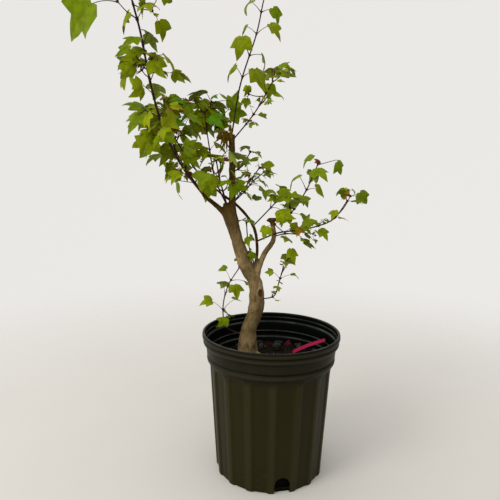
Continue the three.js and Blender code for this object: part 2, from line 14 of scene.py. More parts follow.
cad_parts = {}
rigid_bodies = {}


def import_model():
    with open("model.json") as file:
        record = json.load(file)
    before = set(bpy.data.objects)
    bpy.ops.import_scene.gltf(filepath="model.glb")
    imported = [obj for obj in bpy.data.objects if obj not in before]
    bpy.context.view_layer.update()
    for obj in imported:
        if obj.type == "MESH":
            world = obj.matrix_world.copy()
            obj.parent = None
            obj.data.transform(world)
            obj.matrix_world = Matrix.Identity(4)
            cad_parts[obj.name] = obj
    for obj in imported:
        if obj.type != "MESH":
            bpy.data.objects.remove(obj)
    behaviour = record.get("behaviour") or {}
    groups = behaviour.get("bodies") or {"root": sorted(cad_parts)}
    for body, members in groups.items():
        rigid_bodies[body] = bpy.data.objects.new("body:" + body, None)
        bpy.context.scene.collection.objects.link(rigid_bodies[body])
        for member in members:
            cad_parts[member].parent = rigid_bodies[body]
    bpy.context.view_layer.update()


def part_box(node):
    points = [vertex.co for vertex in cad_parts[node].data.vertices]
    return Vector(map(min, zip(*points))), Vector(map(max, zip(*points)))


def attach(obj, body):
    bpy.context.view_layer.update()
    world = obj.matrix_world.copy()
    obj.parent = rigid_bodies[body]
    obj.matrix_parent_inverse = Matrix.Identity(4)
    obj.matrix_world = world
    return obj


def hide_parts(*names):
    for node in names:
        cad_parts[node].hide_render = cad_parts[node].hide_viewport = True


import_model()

MM = 0.001
TIP = math.inf
NEVER = math.inf
UP = np.array([0.0, 0.0, 1.0])
BACK = np.array([0.0, 1.0, 0.0])

# Camera and stage
LENS = 37.44
SENSOR = 36.0
EYE = (-26.6, -603.0, 363.5)
PITCH = 8.87
ROLL = 0.71
BACKDROP_TINT = (0.80, 0.785, 0.76)
BACKDROP_REACH = 4000
BACKDROP_GRID = (24, 48)
FLOOR_REACH = 1200
FLOOR_FADE = (200, 1100)
FLOOR_SIDES = 96
SOFT_LIGHT_SIDE = (-0.62, -0.35, 0.7)
SOFT_LIGHT_RANGE = (0.34, 1.3)
KEY_PLACE = (-1300, -1100, 1500)
KEY_TARGET = (0, 0, 300)
KEY_SIZE = 900
KEY_POWER = 14
KEY_TINT = (1.0, 0.97, 0.92)

# Pot
POT_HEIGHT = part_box("pot")[1].z / MM
SOIL_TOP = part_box("soil")[1].z / MM
POT_FLOOR = 3.0
AXIS_RADIUS = 1.0
LIP_RADIUS = 82.5
BODY_RADIUS = 73.5
BASE_RADIUS = 64.8
BASE_WALL = 1.6
BODY_BEND = 130.0
BODY_BEND_RADIUS = 73.0
FLUTE_COUNT = 16
FLUTE_DEPTH = 2.0
FLUTE_START = 0.5
FLUTE_TOP = 127.0
FLUTE_ARCH = 9.0
FLUTE_FADE = 3.0
FLUTE_EDGE = 0.8
FLUTE_SLOPE = 0.28
FLUTE_SAG = 0.25
FLUTE_COLUMNS = 16
WALL_STEP = 2.5
ROUNDING_LIMIT = 0.48
LIP_OUTSIDE = 2.0
LIP_CREST = 1.0
LEDGE_SLOPE = 0.6
SIDE_SLOPE = 0.5
BEHIND_WALL = BASE_RADIUS - FLUTE_DEPTH - 1.0
DRAIN_COUNT = 3
DRAIN_WIDTH = 18.0
DRAIN_HEIGHT = 19.0
DRAIN_REACH = (1.25, 0.92)
DRAIN_SINK = 2.0
DRAIN_STEPS = 16
POT_CREASE = 38

# How pale the pot's wall is painted, from 0 to 1: on its body, on its band, which is darker, and on the
# ridges between flutes, which start at a share of the way from a flute's middle; the pale ridges are partly
# wear and
# partly a painted highlight. Beads and grooves are bells of a height above or below the lip and a weight:
# painted highlights on the beads and painted shade in the grooves.
BODY_TONE = 0.47
BAND_TONE = 0.33
RIDGE_WEAR_AND_HIGHLIGHT = 0.3
RIDGE_START = 0.62
RIDGE_SPAN = 0.3
BELL_HEIGHT = 1.2
LIGHT_AND_SHADE_BELLS = (
    (-1.5, -0.25), (-4.2, 0.3), (-7.6, -0.3), (-11.2, 0.35), (-14.6, -0.25), (-26.6, -0.3), (-30.4, 0.35),
    (-34.6, -0.2),
)

# Corners of the pot's wall: radius, height above or below the lip, and rounding.
WALL_CORNERS = (
    (BASE_RADIUS, -POT_HEIGHT, 1.6), (BODY_BEND_RADIUS, BODY_BEND - POT_HEIGHT, 3.0),
    (BODY_RADIUS, -36.2, 2.0), (74.2, -35.3, 1.0), (76.3, -33.8, 2.0), (77.0, -30.8, 1.8), (76.3, -28.0, 1.2),
    (75.3, -26.9, 0.6), (76.9, -25.4, 0.8), (77.8, -15.4, 1.6), (78.8, -14.2, 0.9), (80.9, -12.8, 1.4),
    (81.5, -10.6, 1.4), (80.5, -7.6, 0.7), (82.3, -6.0, 1.4), (82.5, -3.2, 1.8), (82.0, -0.4, 1.4),
    (80.3, 0.0, 0.7), (79.0, -1.5, 0.8), (79.4, -4.8, 0.9), (77.9, -6.7, 0.7), (78.8, -10.5, 0.9),
    (76.9, -12.4, 1.0), (76.2, -14.0, 1.0), (75.2, -22.8, 0.8), (73.7, -24.4, 0.7), (74.8, -27.0, 1.0),
    (74.4, -29.8, 1.0), (72.2, -32.6, 0.8), (71.4, -36.0, 1.0), (70.9, -42.0, 1.0),
)

# Soil: its outline as radius and height, and lumps of a height, a width and a seed.
SOIL_LEVEL = SOIL_TOP - 0.5
SOIL_FOOT = POT_FLOOR + 0.4
SOIL_OUTLINE = (
    (AXIS_RADIUS, SOIL_FOOT), (BASE_RADIUS - 8, SOIL_FOOT), (BASE_RADIUS - 3, 26), (66.5, 110),
    (68.2, SOIL_LEVEL - 4), (69.2, SOIL_LEVEL), (60, SOIL_LEVEL + 0.5), (AXIS_RADIUS, SOIL_LEVEL),
)
SOIL_STEP = 2.2
SOIL_COLUMNS = 144
SOIL_LUMPS = ((1.5, 19, 5), (0.7, 6, 6))
LUMPY_DEPTH = 3

# Grains on the soil: count, smallest and largest size, and how dented they are.
SOIL_GRAINS = {
    "bark_crumbs": (620, 1.0, 3.2, 0.3), "grit": (200, 0.8, 2.2, 0.15), "pale_crumbs": (22, 0.6, 1.2, 0.1),
}
GRAIN_REACH = 68
GRAIN_HEIGHTS = (-0.6, 0.9)
GRAIN_SHRINK = (0.5, 1)
GRAIN_FLATNESS = (0.45, 1.1)
GRAIN_GRID = (4, 6)
GRAIN_CREASE = 50
DENT_WIDTH = 1.7
DENT_SHIFT = 50

# Stones on the soil: place, height over the soil, and half sizes.
PEBBLES = (
    (9, 45, 2.4, 6, 5, 4.2), (38, 44, 2, 3.2, 3, 2.6), (-11, 46, 2, 4, 3.6, 3.2), (44, 30, 2, 3.6, 3, 2.6),
    (40, 52, 2, 3.2, 3, 2.6), (-34, 40, 2, 4.6, 4, 3.2), (-52, 8, 2, 3.6, 3.4, 2.8),
    (14, -34, 2, 4.8, 4, 3.4), (44, -20, 2, 4, 3.4, 3), (-8, -52, 2, 4.4, 3.8, 3), (56, 14, 2, 3.4, 3, 2.6),
)
LAVA_LUMPS = ((24.6, 49, 3, 5.6, 4.6, 4.2), (-46, -26, 2, 4, 3.4, 3))

# Label: a strip whose ends are round by a high power, with a section that has powers across and through.
LABEL_START = (29.0, 27.0, SOIL_TOP + 1.6)
LABEL_HEADING = -7
LABEL_RISE = 24
LABEL_TILT = 7
LABEL_LENGTH = 44.0
LABEL_HALF_WIDTH = 4.7
LABEL_HALF_THICKNESS = 0.4
LABEL_ARCH = 1.1
LABEL_ROWS = 30
LABEL_ROW_START = 0.12
LABEL_SIDES = 16
LABEL_ENDS = 40
LABEL_END_SHARE = 0.02
LABEL_SECTION = (0.35, 0.6)
LABEL_CREASE = 45

# Limbs: the parent and a length along it, stretches of a length with a heading and a rise, radii at shares
# of the length, and the bark's age, from 1 for old and grey to 0 for young and brown. A collar is how far a
# limb swells where it leaves its parent.
TRUNK_START = (-28, 12, SOIL_TOP + 0.3)
COLLAR = 0.75
LIMBS = {
    "trunk": dict(
        stretches=((30, 0, 89), (32, 0, 74), (30, 180, 89), (25, 180, 63), (54, 180, 71), (18, 180, 74),
                   (8, 180, 86)),
        radii=((0, 13), (0.04, 11.4), (0.14, 9.9), (0.35, 8.7), (0.55, 8.4), (0.75, 7.2), (0.93, 7.4),
               (1, 5)),
        age=((0, 1), (0.5, 0.95), (0.72, 0.78), (0.86, 0.35), (1, 0.05)),
    ),
    "leader": dict(
        parent="trunk", at=172, stretches=((28, 60, 89), (76, 120, 88)),
        radii=((0, 4.2), (0.4, 3.6), (1, 3.4)), age=((0, 0.1), (1, 0.2)),
    ),
    "right_bough": dict(
        parent="trunk", at=98, stretches=((36, 0, 70), (17, 12, 55), (10, 47, 82), (15, 180, 80)),
        radii=((0, 4), (0.25, 3.1), (0.6, 2.7), (1, 2.4)), age=((0, 0.95), (0.7, 0.85), (0.9, 0.5), (1, 0.2)),
        collar=0.35,
    ),
    "crotch_bough": dict(
        parent="trunk", at=100, stretches=((39, 43, 82), (26, 136, 74), (32, 169, 50), (21, 173, 34)),
        radii=((0, 1.8), (0.3, 1.4), (1, 1.2)), age=((0, 0.25), (0.3, 0), (1, 0)), collar=0.6,
    ),
    "left_bough": dict(
        parent="trunk", at=180, stretches=((27, -158, 39), (16, -161, 40)), radii=((0, 2.8), (1, 2)),
        age=((0, 0.1), (1, 0)),
    ),
}

# What the bark covers: the limbs, and a dead stub that lies across the right bough's top.
BARK_LIMBS = {
    **LIMBS,
    "dead_stub": dict(
        parent="right_bough", at=TIP, stretches=((5, 186, 6), (15, 4, 4)),
        radii=((0, 1.6), (0.3, 2.2), (1, 1.7)), age=((0, 0), (1, 0)), collar=0,
    ),
}

# Root lobes at the trunk's foot: turn from the back to the left, swelling, height and spread.
TRUNK_ROOTS = (
    (258, 0.62, 6, 14), (215, 0.12, 12, 22), (165, 0.12, 8, 24), (30, 0.3, 12, 26), (325, 0.26, 10, 24),
)
TRUNK_WAVE = 0.05
TRUNK_WAVE_LENGTH = 9.0
TRUNK_WAVE_START = 30
COLLAR_START = 6
COLLAR_FADE = 6.5
SOFTENING = 1.2
SOFTENED_FROM = 0.8
LIMB_LUMPS = 0.035
LIMB_LUMP_WIDTH = 13
LIMB_STEP = 1.5
BARK_SIDES = 48
BARK_VOXEL = 0.75
AGE_SAMPLES = 60
AGE_BLUR = 1.2
AGE_REACH = 30
YOUNG_RELIEF = 0.35

# Relief of the bark: waves of a height, a length, a stretch along Z and a seed, and marks on the trunk at a
# length along it and a turn from the front to the right, with half a length and half a width.
BARK_WAVES = ((0.16, 6.5, 1, 41), (0.1, 2.4, 0.45, 42), (0.05, 1.6, 2.6, 43))
SURFACE_ROOT = (3, 62, 3.2, 3.4)
SURFACE_ROOT_HEIGHT = 2.4
MARK_DEPTH = 5
NO_MARK = 9
BARK_RINGS = ((63, 0.35), (112, 0.2), (150, 0.25))
RING_HALF = 0.7
RING_REACH = 14
RING_WOBBLE = 0.5
RING_WOBBLE_WIDTH = 9
SPECK_COUNT = 90
SPECK_LENGTHS = (8, 170)
SPECK_HALVES = (0.55, 1.3)
SPECK_HEIGHT = 0.22

# A pruned scar and an old knot: each is a mark with a raised rim of a height, a place and a half width, a
# sunk middle of a depth and a half width, and brown bark of a strength that fades from a place over a span.
# Places and widths are counted in the mark's own half sizes.
HEALED_MARKS = (
    dict(mark=(83, 34, 5.0, 3.6), rim=(0.9, 1.15, 0.3), middle=(1.1, 0.75), brown=(1, 0.8, 0.4)),
    dict(mark=(58, -22, 1.6, 2.2), rim=(0.35, 1.2, 0.4), middle=(0.6, 0.7), brown=(0.7, 0.5, 0.5)),
)

# Facings of blades: to the light, or what a mass or a twig names.
LIGHT = np.array([0.05, -0.36, 0.92])
FRONT = (0, -1, 0.3)
FRONT_UP = (0, -0.7, 0.7)
LEFT_UP = (-0.3, -0.8, 0.5)
RIGHT_UP = (0.3, -0.8, 0.5)
LEFT_FRONT = (-0.3, -1, 0.25)

STEM_TIP = 0.8


def mass(parent, at, seed, foot, stretches, **rule):
    """A foliage mass: its stem's parent and a length along that, its seed, the radius of the stem's foot,
    its stretches, and what it sets of the rule that dresses a shoot."""
    return {"parent": parent, "at": at, "seed": seed, "stretches": stretches,
            "radii": ((0, foot), (1, STEM_TIP)), **rule}


def twig(at, seed, length, heading, rise, turn, size, bend=-10, shorter=2, steeper=12, **rule):
    """A listed twig of a mass, with one pair of leaves. Its second stretch is bent aside, shorter and
    steeper."""
    stretches = ((length, heading, rise), (length - shorter, heading + bend, rise + steeper))
    return dict(at=at, seed=seed, stretches=stretches, pairs=1, turn=turn, sizes=(size,) * 3, **rule)


# Pairs of leaves stand along each stem from its first length to its tip, with sizes at its foot, middle and
# tip. A share of the pairs, given by branch, have side twigs.
MASSES = {
    "left_leader": mass(
        "left_bough", TIP, 368, 1.8,
        ((36, -159, 52), (45, -153, 61), (47, -146, 72), (58, -126, 75), (31, -138, 73), (45, -150, 76),
         (35, -165, 72)),
        radii=((0, 1.8), (0.7, 1.3), (1, STEM_TIP)), first=25, pairs=12, turn=-18, sizes=(26, 29, 28),
        stalk=0.6, droop=26, facing=FRONT_UP, branch=0.5,
        twigs=(
            twig(198, 600, 14, 168, 35, -120, 48, bend=10, shorter=1, steeper=11, droop=52, facing=LEFT_FRONT,
                 spray=NEVER, tint="leaf_green"),
            twig(140, 389, 8, 150, 35, 90, 29, droop=50),
            twig(136, 309, 8, 75, 50, 120, 35),
            twig(212, 854, 12, 45, -10, 105, 23, droop=50, facing=RIGHT_UP),
            twig(154, 417, 16, 135, 20, 15, 23, facing=FRONT_UP),
        ),
    ),
    "left_mid": mass(
        "left_bough", 30, 140, 1.2, ((31, 153, 44), (40, 169, 57), (34, 170, 69)),
        first=30, pairs=4, turn=130, sizes=(29, 35, 29), stalk=0.95, droop=74, facing=FRONT_UP, branch=0.6,
    ),
    "left_inner": mass(
        "crotch_bough", TIP, 913, 1.4, ((38, 172, 41), (40, 168, 53), (46, 165, 59)),
        first=48, pairs=5, turn=85, sizes=(26, 32, 29), droop=44, facing=FRONT, branch=0.5,
        twigs=(twig(108, 531, 16, -90, 5, 105, 42, bend=10, facing=FRONT),),
    ),
    "centre_left": mass(
        "trunk", 192, 140, 1.2, ((37, 147, 60), (45, 132, 73), (38, 124, 75)),
        first=50, pairs=4, turn=20, sizes=(18, 25, 32), droop=4, branch=0.3, tint="leaf_bright", spray=NEVER,
    ),
    "front_shoot": mass(
        "trunk", 190, 565, 1.3, ((41, -117, 61), (21, -120, 71)), radii=((0, 1.3), (1, 0.9)),
        first=24, pairs=3, turn=70, sizes=(24, 26, 22), droop=60, branch=0.3,
    ),
    "right_leader": mass(
        "leader", TIP, 340, 1.2, ((57, 33, 79), (63, 18, 72), (36, 42, 75), (40, 20, 76)),
        first=66, pairs=6, turn=60, step=56, sizes=(24, 28, 22), droop=46, spray=NEVER,
    ),
    "wilted_tuft": mass(
        "leader", 100, 67, 0.9, ((6, 222, 25), (3, 222, 50)),
        first=6, pairs=2, turn=20, sizes=(15, 15, 13), droop=78,
    ),
    "up_right": mass(
        "leader", 96, 344, 1, ((42, -19, 49), (39, -24, 57)),
        first=25, pairs=5, turn=30, sizes=(13, 16, 21), droop=-10, facing=FRONT_UP, branch=0.3,
        twigs=(
            twig(53, 362, 8, 45, 35, 165, 16, droop=50, facing=RIGHT_UP),
            twig(63, 818, 12, 150, 5, 60, 13, droop=65, facing=FRONT_UP),
        ),
    ),
    "mid_right": mass(
        "leader", 60, 742, 0.9, ((15, 20, 32), (11, 32, 56), (8, 20, 62)),
        first=7, pairs=3, turn=80, sizes=(11, 13, 14), branch=0.3,
    ),
    "low_mid_right": mass(
        "trunk", 190, 293, 1, ((46, 41, 44), (23, 40, 47)),
        first=25, pairs=3, turn=90, sizes=(13, 14, 16), droop=8, branch=0.2,
    ),
    "fork_right": mass(
        "crotch_bough", 65, 225, 1, ((35, -22, 46), (16, -22, 48)),
        first=31, pairs=3, turn=30, sizes=(20, 24, 26), droop=8, branch=0.2,
    ),
    "far_right": mass(
        "crotch_bough", 46, 24, 1.3, ((30, -24, 23), (32, -11, 10), (33, -11, 21), (27, -15, 54)),
        first=54, pairs=4, turn=-50, sizes=(13, 14, 16), branch=0.2,
        twigs=(twig(99, 57, 16, 0, 50, 60, 17, bend=10, droop=65, facing=FRONT_UP),),
    ),
    "crotch_shoot": mass(
        "crotch_bough", 14, 446, 1.1, ((31, -175, 74), (24, 180, 84)),
        first=14, pairs=3, turn=40, sizes=(13, 14, 13), droop=26, facing=FRONT_UP, tint="leaf_deep",
    ),
    "upper_right": mass(
        "right_bough", TIP, 951, 1.2, ((21, 14, 17), (34, 17, 52), (38, 22, 64)),
        first=25, pairs=5, turn=85, sizes=(15, 20, 24), droop=32, branch=0.2, tint="leaf_green",
        twigs=(twig(32, 227, 12, -105, 5, 120, 18, droop=35, facing=LEFT_UP),),
    ),
    "stub_twig": mass(
        "right_bough", 59, 556, 0.9, ((15, -25, 16), (16, -22, 1)),
        first=13, pairs=2, turn=20, sizes=(18, 20, 22), droop=-4, facing=FRONT_UP,
        twigs=(twig(17, 8, 16, -120, 20, 75, 16, droop=65),),
    ),
    "low_right": mass(
        "trunk", 74, 555, 0.9, ((23, -22, 17), (19, -37, 69), (18, 0, 75)),
        first=20, pairs=4, turn=80, sizes=(7, 11, 18), stalk=1.15, droop=8,
        twigs=(twig(53, 759, 12, 45, 50, 0, 20, bend=10, droop=50),),
    ),
    "basal_shoot": mass(
        "trunk", 26, 482, 1, ((29, 163, 18), (23, 130, 70), (29, 46, 73), (27, 24, 56)),
        first=32, pairs=5, turn=20, sizes=(17, 17, 17), stalk=1.15, droop=14, tint="leaf_green",
    ),
    "back_shoot": mass(
        "leader", 84, 138, 1, ((37, 114, 31), (29, 117, 49)),
        first=54, pairs=4, turn=90, sizes=(26, 33, 31), stalk=0.6, droop=2, facing=LEFT_UP, branch=0.3,
    ),
    "back_low_shoot": mass(
        "trunk", 192, 140, 1, ((41, 63, 22), (26, 55, 34)),
        first=43, pairs=4, turn=100, sizes=(20, 23, 22), stalk=1.15, droop=2, branch=0.2,
    ),
}

# The rule that dresses a shoot: pairs of leaves, every second one turned by a step, on stalks that splay,
# with blades that droop, roll and swing about a facing, and side twigs in some axils.
LEAF_DROOP = 20
YOUNG_DROOP = -10
STALK_SHARE = 0.75
STALK_SPLAY = 56
SIZE_RANGE = (0.75, 1.2)
STALK_RANGE = (0.8, 1.2)
SPLAY_SPREAD = 16
DROOP_SPREAD = 44
ROLL_SPREAD = 60
SWING_SPREAD = 50
PAIR_SPREAD = 24
PAIR_STEP = 90
END_INSET = 1
TWIG_LENGTH = 15
TWIG_RANGE = (0.8, 1.4)
TWIG_RISE = 0.6
TWIG_SPLAY = 45
TWIG_LEAF_SHARE = 0.75
TWIG_SEEDS = 5000
TWIG_RADII = ((0, 0.8), (1, 0.55))
TURNS = (0, 22, -22, 44, -44, 66, -66)
LEAF_CLEARANCE = 1.5
CLEAR_SAMPLES = 50

# Points of a blade that keep clear of other pieces: shares of its length across it and along it.
BLADE_PROBES = np.array([(0, 0.3), (0, 0.65), (0, 1), (0.5, 0.4), (-0.5, 0.4), (0.3, 0.3), (-0.3, 0.3)])

# The finer growth: young leaves at tips, and in a share of axils a short shoot with two of them.
FINE_SEEDS = 6000
FINE_RADII = ((0, 0.6), (1, 0.45))
AXIL_SHARE = 0.14
AXIL_TWIG = (5, 10)
AXIL_LEAF = (0.3, 0.55)
TIP_LEAF = (0.3, 0.5)
AXIL_BUD = 1.1
TIP_BUD = 1.3
BUD_STRETCH = 1.9
BUD_POINT = 0.25
BUD_GRID = (5, 6)
BUD_LEAN = (0.8, 0.6)
BUD_REACH = 1.8
TIP_BUD_REACH = 0.8

# A leaf longer than SPRAY_SIZE, or than what its mass or twig sets, is grown as a spray of up to three:
# each one's lean from the leaf's middle and share of its length.
SPRAY_SIZE = 24.0
SPRAY_LEAVES = ((-66, 0.6), (0, 0.72), (66, 0.6))
SPRAY_KEPT = 0.5
SPRAY_RANGE = (0.85, 1.1)
SPRAY_STALK = 0.24
SPRAY_SPREAD = 30
SPRAY_ROLL = 130

# Stems and stalks
STEM_SHARE = 0.8
STEM_STEP = 1.6
STEM_SIDES = 8
STEM_END = 0.5
NODE_SWELLING = 0.4
NODE_HALF = 1.5
STALK_SIDES = 6
STALK_ROWS = 7
STALK_RISE = 0.09
STALK_LEAF = 24
STALK_SIZES = (0.6, 1.1)
STALK_FOOT = 0.62
STALK_THINNING = 0.26
STALK_END = 0.16

# Half outline of a blade as angle from the middle lobe and reach, in shares of its length. The vein along
# the middle is a strip, with half its angle given at each ring.
BLADE_HALF = (
    (0, 1.0), (6.5, 0.82), (16, 0.665), (28, 0.51), (40, 0.585), (52, 0.69), (61, 0.595), (77, 0.475),
    (100, 0.385), (140, 0.225), (180, 0.09),
)
VEIN_HALF = (1.5, 0.5)
BLADE_RINGS = (0.5, 1.0)
BLADE_THICKNESS = 0.28
BLADE_RAISE = 0.02
RIM_WAVE = 0.06
RIM_WAVES = 9
BLADE_CREASE = 55

# How blades differ: bends along, cups across, of which a share are cupped up, widths, unlikeness of their
# halves, and twist.
BLADE_BEND = (0.35, 1.4)
BLADE_CUP = (0.2, 1.2)
CUPPED_UP = 0.25
BLADE_WIDTH = (0.78, 1.02)
BLADE_SKEW = 0.12
BLADE_TWIST = 0.45

# Tints of leaves. Sprays take those in TINT_ORDER, from low and inside to high and outside, deeper as painted
# shade and yellower as painted light, and young leaves any of YOUNG_TINTS.
LEAF_TINTS = {
    "leaf_olive": (0.195, 0.245, 0.001), "leaf_lime": (0.245, 0.29, 0.002), "leaf_green": (0.15, 0.22, 0.001),
    "leaf_deep": (0.135, 0.19, 0.003), "leaf_bright": (0.085, 0.22, 0.002), "leaf_bronze": (0.2, 0.11, 0.004),
    # leaf_under is a paler underside, made paler still as painted light that shines through the blade.
    "leaf_red": (0.15, 0.032, 0.006), "leaf_under": (0.22, 0.28, 0.035), "leaf_vein": (0.21, 0.21, 0.008),
}
TINT_NAMES = list(LEAF_TINTS)
YOUNG_TINTS = [TINT_NAMES.index(f"leaf_{name}") for name in ("bronze", "lime", "red", "bright", "lime")]
TINT_ORDER = [TINT_NAMES.index(f"leaf_{name}") for name in ("deep", "green", "olive", "olive", "lime")]
UNDER = TINT_NAMES.index("leaf_under")
VEIN = TINT_NAMES.index("leaf_vein")
MAIN_TINT_SHARE = 0.65
TINT_MIDDLE = (-40, 260)
TINT_SPAN = (160, 330)
TINT_WEIGHTS = (0.12, 0.22)
TINT_START = 0.36
TINT_CHANCE = 0.7

# Lobes of the wilted leaf: lean to the right of straight down, length, and turn about their own line. Its
# foot is given from the leader's tip. Lobes shorter than WITHERED_SIZE, and undersides, are withered red.
WILTED_LOBES = (
    (-62, 11, 30), (-44, 15, -35), (-29, 18, 10), (-15, 19, 50), (-5, 24, -20), (3, 21, 40), (13, 19, -45),
    (26, 15, 15), (44, 12, -30), (70, 9, 35), (-85, 8, 0), (100, 7, 20),
)
WILTED_FOOT = np.array([-6.5, -5.5, 0.5])
WILTED_STALK = 2.0
WILTED_FORWARD = 0.25
WILTED_BEND = (0.3, 0.9)
WILTED_CUP = (1.6, 2.6)
WILTED_WIDTH = (0.26, 0.36)
WILTED_TWIST = 0.8
WITHERED_SIZE = 12
WITHERED = 1


# Finishes

class Tone:
    """A value, colour or vector that a tree of nodes gives. Arithmetic on it adds Math nodes."""

    def __init__(self, nodes, socket):
        self.nodes = nodes
        self.socket = socket

    def _math(self, operation, first, second):
        return self.nodes.node("ShaderNodeMath", {"operation": operation}, {0: first, 1: second})

    def __add__(self, other):
        return self._math("ADD", self, other)

    def __sub__(self, other):
        return self._math("SUBTRACT", self, other)

    def __rsub__(self, other):
        return self._math("SUBTRACT", other, self)

    def __mul__(self, other):
        return self._math("MULTIPLY", self, other)

    __radd__ = __add__
    __rmul__ = __mul__


class NodeTree:
    """Nodes of a material or of the surroundings."""

    def __init__(self, tree):
        self.tree = tree

    def node(self, kind, settings=None, inputs=None, output=None):
        """One node: its settings are set first, then its inputs, by name or number, to values or links."""
        made = self.tree.nodes.new(kind)
        for name, value in (settings or {}).items():
            if name == "stops":
                self._set_stops(made.color_ramp, value)
            else:
                setattr(made, name, value)
        self.feed(made, inputs or {})
        shown = [socket for socket in made.outputs if socket.enabled and output in (None, socket.name)]
        return Tone(self, shown[0])

    @staticmethod
    def _set_stops(ramp, stops):
        while len(ramp.elements) < len(stops):
            ramp.elements.new(1.0)
        for element, (position, colour) in zip(ramp.elements, stops):
            element.position = position
            element.color = (*colour, 1.0)

    def feed(self, node, inputs):
        """Sets a node's inputs, or links them to tones."""
        for key, value in inputs.items():
            if isinstance(key, int):
                socket = node.inputs[key]
            else:
                socket = next(each for each in node.inputs if each.enabled and each.name == key)
            if isinstance(value, Tone):
                self.tree.links.new(value.socket, socket)
            elif socket.type == "RGBA":
                socket.default_value = (*value, 1.0)
            else:
                socket.default_value = value


class Finish(NodeTree):
    """A material of this plant and its pot, put together node by node."""

    def __init__(self, name):
        self.material = bpy.data.materials.new(name)
        self.material.use_nodes = True
        super().__init__(self.material.node_tree)
        self.place = self.node("ShaderNodeTexCoord", output="Object")

    def height(self):
        return self.node("ShaderNodeSeparateXYZ", inputs={"Vector": self.place}, output="Z")

    def noise(self, scale, detail=3.0, stretch=None, rough=0.55):
        """Noise of about so many lumps a metre, stretched by factors along X, Y and Z."""
        place = self.place
        if stretch:
            place = self.node("ShaderNodeMapping", inputs={"Vector": place, "Scale": stretch})
        inputs = {"Vector": place, "Scale": scale, "Detail": detail, "Roughness": rough}
        return self.node("ShaderNodeTexNoise", inputs=inputs, output="Fac")

    def ramp(self, value, *stops):
        return self.node("ShaderNodeValToRGB", {"stops": stops}, {"Fac": value}, "Color")

    def step(self, value, low, high):
        """A smooth step from 0 at low to 1 at high."""
        inputs = {"Value": value, "From Min": low, "From Max": high}
        return self.node("ShaderNodeMapRange", {"interpolation_type": "SMOOTHSTEP"}, inputs)

    def blend(self, first, second, share):
        return self.node("ShaderNodeMix", {"data_type": "RGBA"}, {"Factor": share, "A": first, "B": second})

    def attribute(self, name):
        return self.node("ShaderNodeAttribute", {"attribute_name": name}, output="Fac")

    def bump(self, height, depth, strength=1.0):
        return self.node("ShaderNodeBump", inputs={"Height": height, "Distance": depth, "Strength": strength})

    def surface(self, colour, roughness, gloss, relief=None):
        inputs = {"Base Color": colour, "Roughness": roughness, "Specular IOR Level": gloss}
        if relief:
            inputs["Normal"] = relief
        self.feed(self.tree.nodes["Principled BSDF"], inputs)
        return self.material


def pot_plastic():
    """Faded black plastic, paler where pot_wear rises, which paints highlights on the beads and ridges and
    shade in the grooves, greyer on the collar, and dusty low down.
    """
    finish = Finish("pot_plastic")
    mottle = finish.noise(28, 4)
    streak = finish.noise(90, 3, (1, 1, 0.12))
    height = finish.height()
    dust = (1 - finish.step(height, 0.0, 0.06)) * finish.step(finish.noise(160, 5), 0.5, 0.75)
    # The attribute paints highlights on the beads and ridges and shade in the grooves.
    paleness = finish.attribute("pot_wear") + 0.12 * (mottle - 0.5) + 0.16 * (streak - 0.5)
    black = (0.0, (0.003, 0.003, 0.001))
    body = finish.ramp(paleness, black, (0.5, (0.021, 0.0175, 0.0044)), (1.0, (0.036, 0.031, 0.0115)))
    collar = finish.ramp(paleness, black, (0.5, (0.0205, 0.0195, 0.0085)), (1.0, (0.033, 0.032, 0.021)))
    plastic = finish.blend(body, collar, finish.step(height, 0.13, 0.142))
    dusty = finish.blend(plastic, (0.05, 0.042, 0.026), dust * 0.25)
    return finish.surface(dusty, 0.4 + 0.2 * dust, 0.065, finish.bump(finish.noise(1400, 2), 0.00006, 0.5))


def pot_inside_shade():
    """The plastic inside the pot, painted dark as the shade that falls inside it and in the drain holes, in
    patches that are paler and rougher.
    """
    finish = Finish("pot_inside_shade")
    # Patches of the painted shade, paler and rougher.
    painted_shade_mix = finish.noise(40, 4)
    colour = finish.blend((0.0008, 0.0018, 0.0011), (0.002, 0.0034, 0.002), painted_shade_mix)
    return finish.surface(colour, 0.4 + 0.2 * painted_shade_mix, 0.055, finish.bump(finish.noise(24, 2), 0.0012))


def potting_soil():
    finish = Finish("potting_soil")
    crumbs = finish.noise(320, 6)
    earth = finish.ramp(crumbs, (0.3, (0.004, 0.0028, 0.002)), (0.55, (0.012, 0.008, 0.0055)),
                        (0.8, (0.035, 0.022, 0.014)))
    # Painted shade: the soil is darker low down, where it is seen through the drain holes.
    earth = finish.blend((0.0015, 0.0012, 0.0008), earth, finish.step(finish.height(), 0.02, 0.1))
    return finish.surface(earth, 0.95, 0.08, finish.bump(crumbs, 0.002))


def label_plastic():
    finish = Finish("label_plastic")
    fade = finish.noise(45, 3)
    colour = finish.blend((0.26, 0.003, 0.035), (0.42, 0.006, 0.07), fade)
    return finish.surface(colour, 0.35 + 0.2 * fade, 0.12, finish.bump(finish.noise(900), 0.0001))


